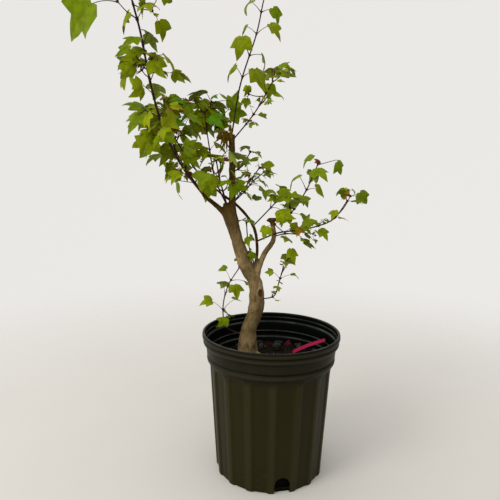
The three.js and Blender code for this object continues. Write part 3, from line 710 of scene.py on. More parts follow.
def bark_finish():
    """Grey-beige bark on old wood, painted pale at the foot as light where the pot's wall shades it and
    painted dark above it as shade, turning red-brown where bark_age falls to 0, with pale specks and brown
    scars; the surface root among the specks is painted pale as light."""
    finish = Finish("trunk_bark")
    cloud = finish.noise(95, 5, (1, 1, 0.55))
    fine = finish.noise(900, 4, (1, 1, 2.2))
    flecks = finish.noise(420, 4, (1, 1, 0.35), 0.65)
    height = finish.height()
    # Painted shade: a dark band on the trunk above its foot.
    painted_shade_mix = finish.step(height, 0.157, 0.168) * finish.step(height, 0.206, 0.19)
    old = finish.ramp(cloud, (0.3, (0.115, 0.077, 0.031)), (0.5, (0.24, 0.168, 0.075)),
                      (0.7, (0.4, 0.295, 0.14)))
    for colour, share in (
        ((0.05, 0.031, 0.011), finish.step(flecks, 0.52, 0.68) * 0.6),
        ((0.3, 0.235, 0.13), finish.step(flecks, 0.46, 0.32) * 0.45),
        ((0.065, 0.042, 0.017), finish.step(fine, 0.55, 0.78) * 0.5),
        # Pale specks, and painted light on the surface root.
        ((0.34, 0.26, 0.15), finish.attribute("bark_speck") * 0.55),
        # Painted light: the foot, which the pot's wall shades, is painted pale.
        ((0.4, 0.31, 0.18), 0.5 - finish.step(height, 0.136, 0.15) * 0.5),
        ((0.06, 0.04, 0.014), painted_shade_mix * 0.55),
    ):
        old = finish.blend(old, colour, share)
    young = finish.ramp(cloud, (0.3, (0.028, 0.013, 0.001)), (0.7, (0.066, 0.034, 0.003)))
    bark = finish.blend(young, old, finish.attribute("bark_age"))
    bark = finish.blend(bark, (0.1, 0.043, 0.016), finish.attribute("bark_scar"))
    return finish.surface(bark, 0.85, 0.03, finish.bump(fine + flecks, 0.0004))


def mottled(name, dark, light, lumps, limits, roughness, gloss, grain=None, depth=0):
    """Two tints in soft patches of so many lumps a metre, with a fine grain of so many lumps and a depth."""
    finish = Finish(name)
    colour = finish.blend(dark, light, finish.step(finish.noise(lumps, 4), *limits))
    relief = finish.bump(finish.noise(*grain), depth) if grain else None
    return finish.surface(colour, roughness, gloss, relief)


def pot_ledge_highlight():
    """The faces of the lip and of the rings inside that look up: a painted highlight, pale in soft patches.
    """
    return mottled("pot_ledge_highlight", (0.012, 0.015, 0.012), (0.05, 0.056, 0.048), 60, (0.35, 0.65), 0.45, 0.2)


def stone_finish(name, dark, light, roughness):
    return mottled(name, dark, light, 700, (0.35, 0.7), roughness, 0.12, (700, 4), 0.0004)


def stem_finish(name, dark, light):
    return mottled(name, dark, light, 220, (0.35, 0.68), 0.6, 0.08, (1500,), 0.0002)


def leaf_finish(name, colour, roughness=0.5):
    """One plain leaf tint, a little darker and lighter in soft patches."""
    dark, light = (tuple(share * part for part in colour) for share in (0.8, 1.18))
    return mottled(name, dark, light, 130, (0.32, 0.68), roughness, 0.06, (1100,), 0.00018)


# Meshes

class Pile:
    """Points and faces of many small shapes, gathered into one piece. A tint is a face's material number."""

    def __init__(self):
        self.points = []
        self.faces = []
        self.tints = []
        self.count = 0

    def add(self, points, faces, tints=(0, 0, 0)):
        """Adds points with blocks of three- or four-cornered faces. Each block has a tint, or one for each
        face."""
        points = points.reshape(-1, 3)
        for block, tint in zip(faces, tints):
            self.faces.append(block + self.count)
            self.tints.append(np.broadcast_to(tint, len(block)))
        self.points.append(points)
        self.count += len(points)

    def made(self, name):
        """The object of this name, in metres."""
        corners = np.concatenate([block.ravel() for block in self.faces]).astype(np.int32)
        sizes = np.concatenate([np.full(len(block), block.shape[1]) for block in self.faces])
        starts = np.concatenate([[0], np.cumsum(sizes)[:-1]]).astype(np.int32)
        places = (np.vstack(self.points) * MM).astype(np.float32)
        mesh = bpy.data.meshes.new(name)
        mesh.vertices.add(len(places))
        mesh.vertices.foreach_set("co", places.ravel())
        mesh.loops.add(len(corners))
        mesh.loops.foreach_set("vertex_index", corners)
        mesh.polygons.add(len(sizes))
        mesh.polygons.foreach_set("loop_start", starts)
        mesh.polygons.foreach_set("material_index", np.concatenate(self.tints).astype(np.int32))
        mesh.update(calc_edges=True)
        mesh.validate()
        return object_of(name, mesh)


def body_of(name, points, faces):
    """An object of one body's points and blocks of faces."""
    pile = Pile()
    pile.add(points, faces)
    return pile.made(name)


def object_of(name, data):
    made = bpy.data.objects.new(name, data)
    bpy.context.scene.collection.objects.link(made)
    return made


def fit_piece(piece, finishes, replaced=(), sharp=None):
    """Gives a piece its finishes and its place in the frame. Edges bent by more than sharp stay crisp."""
    for finish in finishes:
        piece.data.materials.append(finish)
    piece.data.polygons.foreach_set("use_smooth", np.ones(len(piece.data.polygons), bool))
    if sharp:
        piece.data.set_sharp_from_angle(angle=math.radians(sharp))
    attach(piece, "root")
    if replaced:
        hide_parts(*replaced)


def apply_modifiers(piece):
    bpy.context.view_layer.update()
    seen = piece.evaluated_get(bpy.context.evaluated_depsgraph_get())
    mesh = bpy.data.meshes.new_from_object(seen)
    piece.modifiers.clear()
    piece.data = mesh


def read_vectors(items, key):
    values = np.empty(len(items) * 3, np.float32)
    items.foreach_get(key, values)
    return values.reshape(-1, 3)


def paint(mesh, name, values):
    mesh.attributes.new(name, "FLOAT", "POINT").data.foreach_set("value", values.astype(np.float32))


def grid_faces(rows, columns):
    """Four-cornered faces of a grid of points whose columns run round in a ring."""
    row, column = np.mgrid[0:rows - 1, 0:columns]
    here, above = row * columns, (row + 1) * columns
    after = (column + 1) % columns
    return np.stack((here + column, here + after, above + after, above + column), -1).reshape(-1, 4)


def fan_faces(hub, first, columns, turned=False):
    """Triangles from a hub point to a ring of points."""
    ring = first + np.arange(columns)
    after = first + (np.arange(columns) + 1) % columns
    hubs = np.full(columns, hub)
    return np.stack((hubs, after, ring) if turned else (hubs, ring, after), -1)


def capped(rings, hubs):
    """Rings of points joined into a tube, with a fan from a hub over each end: the points, and blocks of
    faces."""
    rows, columns = rings.shape[:2]
    low = fan_faces(rows * columns, 0, columns, turned=True)
    high = fan_faces(rows * columns + 1, (rows - 1) * columns, columns)
    return np.vstack((rings.reshape(-1, 3), hubs)), (grid_faces(rows, columns), low, high)


def inside_out(points, faces):
    """The same points, with their faces turned over."""
    return points, [block[:, ::-1] for block in faces]


def full_turn(count):
    return np.arange(count) * 2 * math.pi / count


def ripple(points, wave, seed, count=20, spread=0.3):
    """Smooth noise of about -1 to 1: the sum of sine waves near one wavelength, in seeded directions."""
    draw = np.random.default_rng(seed)
    ways = draw.normal(size=(count, 3))
    pitch = 2 * math.pi / wave * draw.uniform(1 - spread, 1 + spread, count)
    ways *= (pitch / np.linalg.norm(ways, axis=1))[:, None]
    return np.sin(points @ ways.T + draw.uniform(0, 2 * math.pi, count)).sum(1) / math.sqrt(count)


def unit(vectors):
    return vectors / np.linalg.norm(vectors, axis=-1, keepdims=True)


def turned(vector, axis, angle):
    """A vector turned about a unit axis."""
    c, s = math.cos(angle), math.sin(angle)
    return vector * c + np.cross(axis, vector) * s + axis * (axis @ vector) * (1 - c)


def bell(distance):
    """A bell curve: 1 at no distance, falling off past 1."""
    return np.exp(-distance ** 2)


def smooth_step(value):
    share = np.clip(value, 0, 1)
    return share * share * (3 - 2 * share)


# Pot, soil and label

def rounded_outline(corners, steps=4):
    """A line through corners of (across, height, rounding). Each corner is a parabola between its sides."""
    places = np.array([corner[:2] for corner in corners], float)
    outline = [places[:1]]
    share = np.linspace(0, 1, steps + 1)[:, None]
    for i in range(1, len(corners) - 1):
        arms = places[[i - 1, i + 1]] - places[i]
        lengths = np.linalg.norm(arms, axis=1)
        cut = min(corners[i][2], ROUNDING_LIMIT * lengths.min())
        start, end = places[i] + arms * (cut / lengths)[:, None]
        outline.append((1 - share) ** 2 * start + 2 * share * (1 - share) * places[i] + share ** 2 * end)
    outline.append(places[-1:])
    return np.vstack(outline)


def with_steps(outline, step):
    """The outline with points added so that no side is longer than step."""
    reach = np.concatenate([[0], np.cumsum(np.linalg.norm(np.diff(outline, axis=0), axis=1))])
    stops = np.concatenate([[reach[0]], *(
        np.linspace(a, b, max(1, math.ceil((b - a) / step)) + 1)[1:]
        for a, b in zip(reach, reach[1:]) if b > a
    )])
    return np.stack([np.interp(stops, reach, outline[:, k]) for k in (0, 1)], 1)


def lathe(outline, columns, shrink=None):
    """A turned body: each outline point (radius, height) carried round Z, its radius less shrink(angle,
    height). The outline starts and ends near the axis, where two points close it."""
    angle = full_turn(columns)
    radius, height = np.broadcast_arrays(outline[:, :1], outline[:, 1:], angle)[:2]
    if shrink:
        radius = np.maximum(radius - shrink(angle, height), 0.01)
    rings = np.stack((radius * np.sin(angle), -radius * np.cos(angle), height), -1)
    return capped(rings, [[0, 0, outline[0, 1]], [0, 0, outline[-1, 1]]])


def off_flute(angle):
    """How far an angle round the pot lies from a flute's middle: 0 there, and 1 on the ridge between two."""
    turn = (angle / (2 * math.pi) - FLUTE_START / 360) * FLUTE_COUNT % 1
    return np.abs(2 * turn - 1)


def flute_shrink(angle, height):
    """How far the wall is drawn in: FLUTE_DEPTH in each flute, up to its sloping edges and its arched
    top."""
    off_centre = off_flute(angle)
    top = FLUTE_TOP + FLUTE_ARCH * np.sqrt(np.clip(1 - (off_centre / FLUTE_EDGE) ** 2, 0, 1))
    hollow = FLUTE_DEPTH * (1 - FLUTE_SAG * off_centre ** 2)
    edge = smooth_step((FLUTE_EDGE - off_centre) / FLUTE_SLOPE)
    return hollow * edge * smooth_step((top - height) / FLUTE_FADE)


def wall_light_and_wear(points):
    """How pale each point of the wall is painted: most along the ridges between flutes, partly wear and
    partly a painted highlight, less on the band above them, paler on the beads as a painted highlight and
    darker in the grooves as painted shade, each a bell curve of its height."""
    height = points[:, 2]
    ridge = smooth_step((off_flute(np.arctan2(points[:, 0], -points[:, 1])) - RIDGE_START) / RIDGE_SPAN)
    body = smooth_step((FLUTE_TOP + FLUTE_ARCH - height) / FLUTE_ARCH)
    # The ridges are paler, partly as wear and partly as a painted highlight; the band is darker than the
    # body.
    paleness = BAND_TONE + body * (BODY_TONE - BAND_TONE + RIDGE_WEAR_AND_HIGHLIGHT * ridge)
    # Painted highlights on the beads and painted shade in the grooves.
    for drop, weight in LIGHT_AND_SHADE_BELLS:
        paleness += weight * bell((height - POT_HEIGHT - drop) / BELL_HEIGHT)
    return np.clip(paleness, 0, 1)


def drain_cutter(angle):
    """An arch of DRAIN_WIDTH and DRAIN_HEIGHT drawn through the wall along its radius."""
    half = DRAIN_WIDTH / 2
    turn = np.linspace(0, math.pi, DRAIN_STEPS + 1)
    arch_x = np.concatenate([[half], half * np.cos(turn), [-half]])
    arch_z = np.concatenate([[-DRAIN_SINK], DRAIN_HEIGHT - half + half * np.sin(turn), [-DRAIN_SINK]])
    depth = -BASE_RADIUS * np.array(DRAIN_REACH)[:, None]
    x, y, z = np.broadcast_arrays(arch_x, depth, arch_z)
    c, s = math.cos(angle), math.sin(angle)
    rings = np.stack((x * c - y * s, x * s + y * c, z), -1)
    return body_of("drain_cutter", *inside_out(*capped(rings, rings.mean(1))))


def cut_drains(pot):
    cutters = []
    for i in range(DRAIN_COUNT):
        centre = FLUTE_START + 180 / FLUTE_COUNT + 360 / DRAIN_COUNT * i
        cutters.append(drain_cutter(math.radians(centre)))
        cut = pot.modifiers.new(f"drain_{i}", "BOOLEAN")
        cut.operation = "DIFFERENCE"
        cut.object = cutters[-1]
    apply_modifiers(pot)
    for cutter in cutters:
        bpy.data.objects.remove(cutter)


def make_pot():
    """The wall's outline turned round Z and drawn in by the flutes. Faces that look inwards, and those of
    the drain holes behind the wall, have a dark finish as painted shade, and those that look up a pale one as
    a painted highlight."""
    wall = [(radius, POT_HEIGHT + height, rounding) for radius, height, rounding in WALL_CORNERS]
    floor = [(BASE_RADIUS - BASE_WALL, POT_FLOOR, 1.0), (AXIS_RADIUS, POT_FLOOR, 0)]
    outline = with_steps(rounded_outline([(AXIS_RADIUS, 0.0, 0), *wall, *floor]), WALL_STEP)
    points, faces = lathe(outline, FLUTE_COUNT * FLUTE_COLUMNS, flute_shrink)
    middle = np.hypot(points[:, 0], points[:, 1]) < BASE_RADIUS / 2
    points[middle, 2] = np.where(points[middle, 2] > POT_FLOOR / 2, POT_FLOOR, 0)
    pot = body_of("fluted_pot", points, faces)
    cut_drains(pot)
    centres, normals = (read_vectors(pot.data.polygons, key) for key in ("center", "normal"))
    height, slope = centres[:, 2], normals[:, 2]
    # Painted shade: faces that look inwards, and those of the drain holes behind the wall, take the dark
    # finish.
    inside = ((centres[:, :2] * normals[:, :2]).sum(1) < 0) & (height < (POT_HEIGHT - LIP_OUTSIDE) * MM)
    behind = np.hypot(centres[:, 0], centres[:, 1]) < BEHIND_WALL * MM
    inside |= behind & (height < DRAIN_HEIGHT * MM) & (np.abs(slope) < SIDE_SLOPE)
    crest = height > (POT_HEIGHT - LIP_CREST) * MM
    # Painted highlight: faces inside and on the crest that look up take the pale finish.
    highlit_ledge = (slope > LEDGE_SLOPE) & (height > SOIL_TOP * MM) & (inside | crest)
    pot.data.polygons.foreach_set("material_index", np.where(highlit_ledge, 2, inside).astype(np.int32))
    paint(pot.data, "pot_wear", wall_light_and_wear(read_vectors(pot.data.vertices, "co") / MM))
    fit_piece(pot, [pot_plastic(), pot_inside_shade(), pot_ledge_highlight()], ["pot"], sharp=POT_CREASE)


def make_soil():
    """A turned bed of soil whose top is raised and sunk by two sizes of noise."""
    points, faces = lathe(with_steps(np.array(SOIL_OUTLINE), SOIL_STEP), SOIL_COLUMNS)
    upper = smooth_step((points[:, 2] - (SOIL_LEVEL - LUMPY_DEPTH)) / LUMPY_DEPTH)
    points[:, 2] += upper * sum(height * ripple(points, width, seed) for height, width, seed in SOIL_LUMPS)
    fit_piece(body_of("soil_bed", points, faces), [potting_soil()], ["soil"])


def ball(rows, columns):
    """Points of a ball as latitude and longitude, and its faces."""
    tilt = ((np.arange(rows) + 0.5) / rows * math.pi)[:, None]
    turn = full_turn(columns)
    rings = np.broadcast_arrays(np.sin(tilt) * np.cos(turn), np.sin(tilt) * np.sin(turn), -np.cos(tilt))
    return capped(np.stack(rings, -1), [[0, 0, -1], [0, 0, 1]])


def scatter_lumps(name, centres, sizes, seed, grid, rough, finish, sharp=None):
    """Balls drawn out by three sizes each, turned at random and dented by noise, all worked out together."""
    draw = np.random.default_rng(seed)
    shape, faces = ball(*grid)
    turns = draw.normal(size=(len(centres), 4))
    w, x, y, z = unit(turns).T
    frames = np.stack([
        1 - 2 * (y * y + z * z), 2 * (x * y - w * z), 2 * (x * z + w * y),
        2 * (x * y + w * z), 1 - 2 * (x * x + z * z), 2 * (y * z - w * x),
        2 * (x * z - w * y), 2 * (y * z + w * x), 1 - 2 * (x * x + y * y),
    ], -1).reshape(-1, 3, 3)
    offsets = draw.uniform(-DENT_SHIFT, DENT_SHIFT, (len(centres), 1, 3))
    dents = ripple((shape[None] + offsets).reshape(-1, 3), DENT_WIDTH, seed).reshape(len(centres), -1, 1)
    local = shape[None] * (1 + rough * dents) * sizes[:, None]
    pile = Pile()
    for body in np.einsum("lij,lnj->lni", frames, local) + centres[:, None]:
        pile.add(body, faces)
    fit_piece(pile.made(name), [finish], sharp=sharp)


def make_soil_grains():
    """Bark crumbs, grit and a few pale crumbs scattered evenly over the soil, and the stones on it."""
    finishes = [
        stone_finish("bark_crumb", (0.008, 0.0045, 0.003), (0.06, 0.024, 0.012), 0.95),
        stone_finish("grit", (0.012, 0.01, 0.008), (0.07, 0.05, 0.04), 0.9),
        stone_finish("pale_crumb", (0.35, 0.33, 0.29), (0.55, 0.52, 0.47), 0.9),
    ]
    draw = np.random.default_rng(21)
    for (name, (count, small, large, rough)), finish in zip(SOIL_GRAINS.items(), finishes):
        radius = GRAIN_REACH * np.sqrt(draw.uniform(0, 1, count))
        turn = draw.uniform(0, 2 * math.pi, count)
        size = draw.uniform(small, large, count) * draw.uniform(*GRAIN_SHRINK, count)
        height = SOIL_TOP + draw.uniform(*GRAIN_HEIGHTS, count)
        centres = np.stack((radius * np.cos(turn), radius * np.sin(turn), height), 1)
        sizes = size[:, None] * draw.uniform(*GRAIN_FLATNESS, (count, 3))
        scatter_lumps(name, centres, sizes, 31 + count, GRAIN_GRID, rough, finish, GRAIN_CREASE)
    pebble = stone_finish("pebble", (0.014, 0.02, 0.017), (0.055, 0.068, 0.058), 0.55)
    lava = stone_finish("lava", (0.04, 0.004, 0.006), (0.16, 0.018, 0.026), 0.9)
    for name, stones, seed, grid, rough, finish in (
        ("pebbles", PEBBLES, 77, (10, 16), 0.12, pebble), ("lava_lumps", LAVA_LUMPS, 88, (14, 20), 0.3, lava),
    ):
        stones = np.array(stones, float)
        scatter_lumps(name, stones[:, :3] + SOIL_TOP * UP, stones[:, 3:], seed, grid, rough, finish)


def make_label():
    """A strip with round ends: a thin rounded section carried up a shallow arc from the soil to the wall."""
    heading, rise, tilt = (math.radians(angle) for angle in (LABEL_HEADING, LABEL_RISE, LABEL_TILT))
    ahead = np.array([math.cos(rise) * math.cos(heading), math.cos(rise) * math.sin(heading), math.sin(rise)])
    flat = np.array([-math.sin(heading), math.cos(heading), 0.0])
    across, over = turned(flat, ahead, tilt), turned(np.cross(ahead, flat), ahead, tilt)
    row = np.linspace(LABEL_ROW_START, math.pi - LABEL_ROW_START, LABEL_ROWS)
    share = np.concatenate([[0], 0.5 - 0.5 * np.cos(row), [1]])
    half = LABEL_HALF_WIDTH * np.clip(1 - (2 * share - 1) ** LABEL_ENDS, LABEL_END_SHARE, 1) ** 0.5
    turn = full_turn(LABEL_SIDES)
    wide = np.sign(np.cos(turn)) * np.abs(np.cos(turn)) ** LABEL_SECTION[0]
    thick = LABEL_HALF_THICKNESS * np.sign(np.sin(turn)) * np.abs(np.sin(turn)) ** LABEL_SECTION[1]
    arch = (LABEL_ARCH * np.sin(math.pi * share))[:, None] * over
    middle = np.array(LABEL_START) + (share * LABEL_LENGTH)[:, None] * ahead + arch
    rings = middle[:, None] + (half[:, None] * wide)[..., None] * across + thick[None, :, None] * over
    label = body_of("label_strip", *capped(rings, middle[[0, -1]]))
    fit_piece(label, [label_plastic()], ["plant_label"], sharp=LABEL_CREASE)


# Growth lines

class GrowthLine:
    """A smooth line through the ends of a limb's stretches. Between two ends its place is a cubic of the
    share, with slopes weighed by the square roots of the chords beside them."""

    SHARES = np.linspace(0, 1, 201)
    STEP = 1e-4

    def __init__(self, ends):
        ends = np.asarray(ends, float)
        self.spans = len(ends) - 1
        self.knots = np.vstack((2 * ends[0] - ends[1], ends, 2 * ends[-1] - ends[-2]))
        steps = np.linalg.norm(np.diff(self.place(self.SHARES), axis=0), axis=1)
        self.reach = np.concatenate([[0], np.cumsum(steps)])
        self.length = self.reach[-1]

    @classmethod
    def grown(cls, start, stretches):
        """The line from a start through stretches of a length, a heading and a rise."""
        length, heading, rise = np.array(stretches, float).T
        heading, rise = np.radians(heading), np.radians(rise)
        ways = np.stack((np.cos(rise) * np.cos(heading), np.cos(rise) * np.sin(heading), np.sin(rise)), 1)
        return cls(np.vstack((start, start + np.cumsum(length[:, None] * ways, axis=0))))

    def place(self, share):
        along = np.clip(share, 0, 1) * self.spans
        index = np.minimum(along.astype(int), self.spans - 1)
        t = (along - index)[:, None]
        a, b, c, d = (self.knots[index + k] for k in range(4))
        chords = (b - a, c - b, d - c)
        before, here, after = (np.sqrt(np.linalg.norm(chord, axis=1))[:, None] for chord in chords)
        first = ((b - a) / before - (c - a) / (before + here) + (c - b) / here) * here
        last = ((c - b) / here - (d - b) / (here + after) + (d - c) / after) * here
        square = 3 * (c - b) - 2 * first - last
        cube = 2 * (b - c) + first + last
        return b + first * t + square * t ** 2 + cube * t ** 3

    def at(self, lengths):
        """Points and directions at lengths along the line."""
        share = np.interp(np.atleast_1d(lengths), self.reach, self.SHARES)
        ahead = self.place(share + self.STEP) - self.place(share - self.STEP)
        return self.place(share), unit(ahead)


def line_of(growth):
    """The line of a limb or mass, which starts on its parent, or of the trunk."""
    start = np.array(TRUNK_START, float)
    if "parent" in growth:
        parent = lines[growth["parent"]]
        start = parent.at(min(growth["at"], parent.length))[0][0]
    return GrowthLine.grown(start, growth["stretches"])


def square_frames(along):
    """Directions backwards and to the side, square to each direction along a line."""
    back = unit(BACK - along * (along @ BACK)[:, None])
    return back, np.cross(along, back)


def tube(line, lengths, radii, sides):
    """Rings round a line: point + radius (back cos a + side sin a). Radii may differ from side to side."""
    points, along = line.at(lengths)
    back, side = square_frames(along)
    angle = full_turn(sides)
    ways = np.cos(angle)[None, :, None] * back[:, None] + np.sin(angle)[None, :, None] * side[:, None]
    return points[:, None] + np.broadcast_to(radii, (len(lengths), sides))[..., None] * ways, points


def capped_tube(rings, points):
    """A tube closed at the first and last points of its line."""
    return capped(rings, points[[0, -1]])


def radii_at(pairs, share):
    shares, radii = zip(*pairs)
    return np.interp(share, shares, radii)


def limb_samples(count):
    """Points along every limb, each with the limb's radius and its bark's age."""
    share = np.linspace(0, 1, count)
    return np.vstack([
        np.column_stack((lines[name].at(share * lines[name].length)[0], radii_at(limb["radii"], share),
                         radii_at(limb["age"], share)))
        for name, limb in BARK_LIMBS.items()
    ])


# Bark

def limb_rings(name, limb):
    """A limb's radius by its taper, times a collar that swells where it leaves its parent, times soft
    lumps, and for the trunk times root lobes that fade upwards."""
    line = lines[name]
    lengths = np.linspace(0, line.length, max(12, round(line.length / LIMB_STEP)))
    radius = radii_at(limb["radii"], lengths / line.length)
    radius = radius + SOFTENING / (radius + SOFTENED_FROM)
    angle = full_turn(BARK_SIDES)
    swell = np.ones((len(lengths), BARK_SIDES))
    if name == "trunk":
        for turn, size, height, spread in TRUNK_ROOTS:
            off = (angle - math.radians(turn) + math.pi) % (2 * math.pi) - math.pi
            swell = swell + size * bell(off / math.radians(spread)) * bell(lengths / height)[:, None]
        wave = TRUNK_WAVE * np.sin(lengths / TRUNK_WAVE_LENGTH)
        radius = radius * (1 + wave * smooth_step(lengths / TRUNK_WAVE_START))
    else:
        fade = np.exp(-np.maximum(lengths - COLLAR_START, 0) / COLLAR_FADE)
        swell = swell + limb.get("collar", COLLAR) * fade[:, None]
    rings, points = tube(line, lengths, radius[:, None] * swell, BARK_SIDES)
    lumps = ripple(rings.reshape(-1, 3), LIMB_LUMP_WIDTH, 3).reshape(rings.shape[:2])
    return points[:, None] + (rings - points[:, None]) * (1 + LIMB_LUMPS * lumps)[..., None], points


def trunk_mark(length, turn):
    """A place on the trunk's bark, its outward direction and the direction along the trunk."""
    points, along = lines["trunk"].at(length)
    back, side = square_frames(along)
    out = -back[0] * math.cos(math.radians(turn)) - side[0] * math.sin(math.radians(turn))
    radius = radii_at(LIMBS["trunk"]["radii"], length / lines["trunk"].length)
    return points[0] + out * radius, out, along[0]


def mark_distance(points, length, turn, long, wide):
    """Distance of points from a mark, counted in its half length along the trunk and half width round it."""
    centre, out, along = trunk_mark(length, turn)
    offset = points - centre
    reach = np.sqrt((offset @ along / long) ** 2 + (offset @ np.cross(along, out) / wide) ** 2)
    return np.where(np.abs(offset @ out) < MARK_DEPTH, reach, NO_MARK)


def bark_features(points):
    """Height of the relief and the strength of scars and pale specks at points of the bark: waves, healed
    marks, a root, rings round the trunk, and specks. The surface root is painted pale with the specks, as
    light where the pot's wall shades the foot."""
    height = sum(size * ripple(points * (1, 1, tall), wave, seed) for size, wave, tall, seed in BARK_WAVES)
    scar = np.zeros(len(points))
    for healed in HEALED_MARKS:
        off = mark_distance(points, *healed["mark"])
        rim, rim_place, rim_half = healed["rim"]
        depth, middle_half = healed["middle"]
        brown, fade_start, fade = healed["brown"]
        height += rim * bell((off - rim_place) / rim_half) - depth * bell(off / middle_half)
        scar = np.maximum(scar, brown * (1 - smooth_step((off - fade_start) / fade)))
    root = bell(mark_distance(points, *SURFACE_ROOT))
    height += SURFACE_ROOT_HEIGHT * root
    wobble = RING_WOBBLE * ripple(points, RING_WOBBLE_WIDTH, 44)
    for length, ring_height in BARK_RINGS:
        centre, _, along = trunk_mark(length, 0)
        near = np.abs((points - centre) @ along + wobble)
        height += ring_height * bell(near / RING_HALF) * (np.abs(points[:, 0] - centre[0]) < RING_REACH)
    draw = np.random.default_rng(9)
    speck = np.zeros(len(points))
    for length, turn in zip(draw.uniform(*SPECK_LENGTHS, SPECK_COUNT), draw.uniform(0, 360, SPECK_COUNT)):
        speck = np.maximum(speck, bell(mark_distance(points, length, turn, *SPECK_HALVES)))
    height += SPECK_HEIGHT * speck
    # The surface root is painted pale as light where the pot's wall shades the foot.
    return height, scar, np.maximum(speck, root)


def make_bark():
    """Limbs as tubes, fused into one skin, then moved along their normals by the relief."""
    pile = Pile()
    for name, limb in BARK_LIMBS.items():
        pile.add(*capped_tube(*limb_rings(name, limb)))
    skin = pile.made("trunk_and_boughs")
    fuse = skin.modifiers.new("fuse", "REMESH")
    fuse.mode = "VOXEL"
    fuse.voxel_size = BARK_VOXEL * MM
    soften = skin.modifiers.new("soften", "SMOOTH")
    soften.factor = 0.5
    soften.iterations = 10
    apply_modifiers(skin)
    mesh = skin.data
    points, normals = read_vectors(mesh.vertices, "co") / MM, read_vectors(mesh.vertices, "normal")
    samples = limb_samples(AGE_SAMPLES)
    gaps = np.linalg.norm(points[:, None] - samples[None, :, :3], axis=2) - samples[:, 3]
    weight = np.exp(-np.clip(gaps - gaps.min(1, keepdims=True), 0, AGE_REACH) / AGE_BLUR)
    age = (weight * samples[:, 4]).sum(1) / weight.sum(1)
    height, scar, speck = bark_features(points)
    relief = height * (YOUNG_RELIEF + (1 - YOUNG_RELIEF) * age)
    moved = (points + normals * relief[:, None]) * MM
    mesh.vertices.foreach_set("co", moved.astype(np.float32).ravel())
    for name, values in (("bark_age", age), ("bark_scar", scar), ("bark_speck", speck * age)):
        paint(mesh, name, values)
    mesh.update()
    fit_piece(skin, [bark_finish()], list(LIMBS))


# Shoots and leaves

class NumberStream:
    """Numbers from 0 to 1, the same on every run: each state is the last one times a factor plus a step."""

    SPACING = 7919
    FACTOR = 1664525
    STEP = 1013904223
    RANGE = 2 ** 32

    def __init__(self, seed):
        self.state = seed * self.SPACING

    def __call__(self):
        self.state = (self.state * self.FACTOR + self.STEP) % self.RANGE
        return self.state / self.RANGE


def between(limits, draw):
    return limits[0] + (limits[1] - limits[0]) * draw()


def angle_near(middle, spread, draw):
    return math.radians(middle + spread * (draw() - 0.5))


class Crown:
    """Stems, leaves and buds gathered as the rule grows them."""

    def __init__(self):
        self.stems = []
        self.leaves = []
        self.buds = []


def leaf_pose(leaf, turn):
    """How a leaf stands: its stalk splays from the stem, and its blade hangs from the stalk's end with its
    face turned to its facing."""
    out = turned(leaf["out"], leaf["along"], math.radians(turn))
    stalk = leaf["along"] * math.cos(leaf["splay"]) + out * math.sin(leaf["splay"])
    end = leaf["foot"] + stalk * leaf["stalk"]
    ahead = turned(unit(stalk * (1, 1, 0)), UP, leaf["swing"])
    axis = ahead * math.cos(leaf["droop"]) - UP * math.sin(leaf["droop"])
    face = turned(unit(leaf["facing"] - axis * (axis @ leaf["facing"])), axis, leaf["roll"])
    return dict(stalk_way=stalk, end=end, axis=axis, face=face, across=np.cross(axis, face))


def is_clear(pose, size):
    """Whether a blade's tip, lobes and middle keep off the trunk, the boughs, the pot's wall and the
    soil."""
    shares = BLADE_PROBES * size
    points = pose["end"] + shares[:, :1] * pose["across"] + shares[:, 1:] * pose["axis"]
    gaps = np.linalg.norm(points[:, None] - LIMB_SAMPLES[None, :, :3], axis=2) - LIMB_SAMPLES[:, 3]
    reach = np.hypot(points[:, 0], points[:, 1])
    low = points[:, 2] < POT_HEIGHT + LEAF_CLEARANCE
    in_wall = low & (reach > BODY_RADIUS - 2 * LEAF_CLEARANCE) & (reach < LIP_RADIUS + 2 * LEAF_CLEARANCE)
    in_soil = (points[:, 2] < SOIL_TOP + LEAF_CLEARANCE) & (reach < BODY_RADIUS)
    return gaps.min() > LEAF_CLEARANCE and not (in_wall | in_soil).any()


def place_leaf(crown, leaf, tint, fine):
    """Adds a leaf at the first of some turns about its stem that is clear, or none."""
    for turn in TURNS:
        pose = leaf_pose(leaf, turn)
        if is_clear(pose, leaf["size"]):
            placed = {**leaf, **pose, "tint": tint}
            if leaf["size"] > leaf["spray"]:
                grow_spray(crown, placed, fine)
            else:
                crown.leaves.append(placed)
            return


def grow_spray(crown, leaf, fine):
    """A twig in a large leaf's place, with up to three smaller leaves that splay in its blade's plane."""
    end = leaf["end"]
    crown.stems.append((GrowthLine((leaf["foot"], end)), FINE_RADII, [], 1))
    for lean, share in SPRAY_LEAVES:
        if lean and fine() > SPRAY_KEPT:
            continue
        axis = turned(leaf["axis"], leaf["face"], angle_near(lean, SPRAY_SPREAD, fine))
        face = turned(leaf["face"], axis, angle_near(0, SPRAY_ROLL, fine))
        size = leaf["size"] * share * between(SPRAY_RANGE, fine)
        stalk = size * SPRAY_STALK
        crown.leaves.append({
            **leaf, "foot": end, "stalk_way": axis, "stalk": stalk, "end": end + axis * stalk, "axis": axis,
            "face": face, "across": np.cross(axis, face), "size": size,
        })


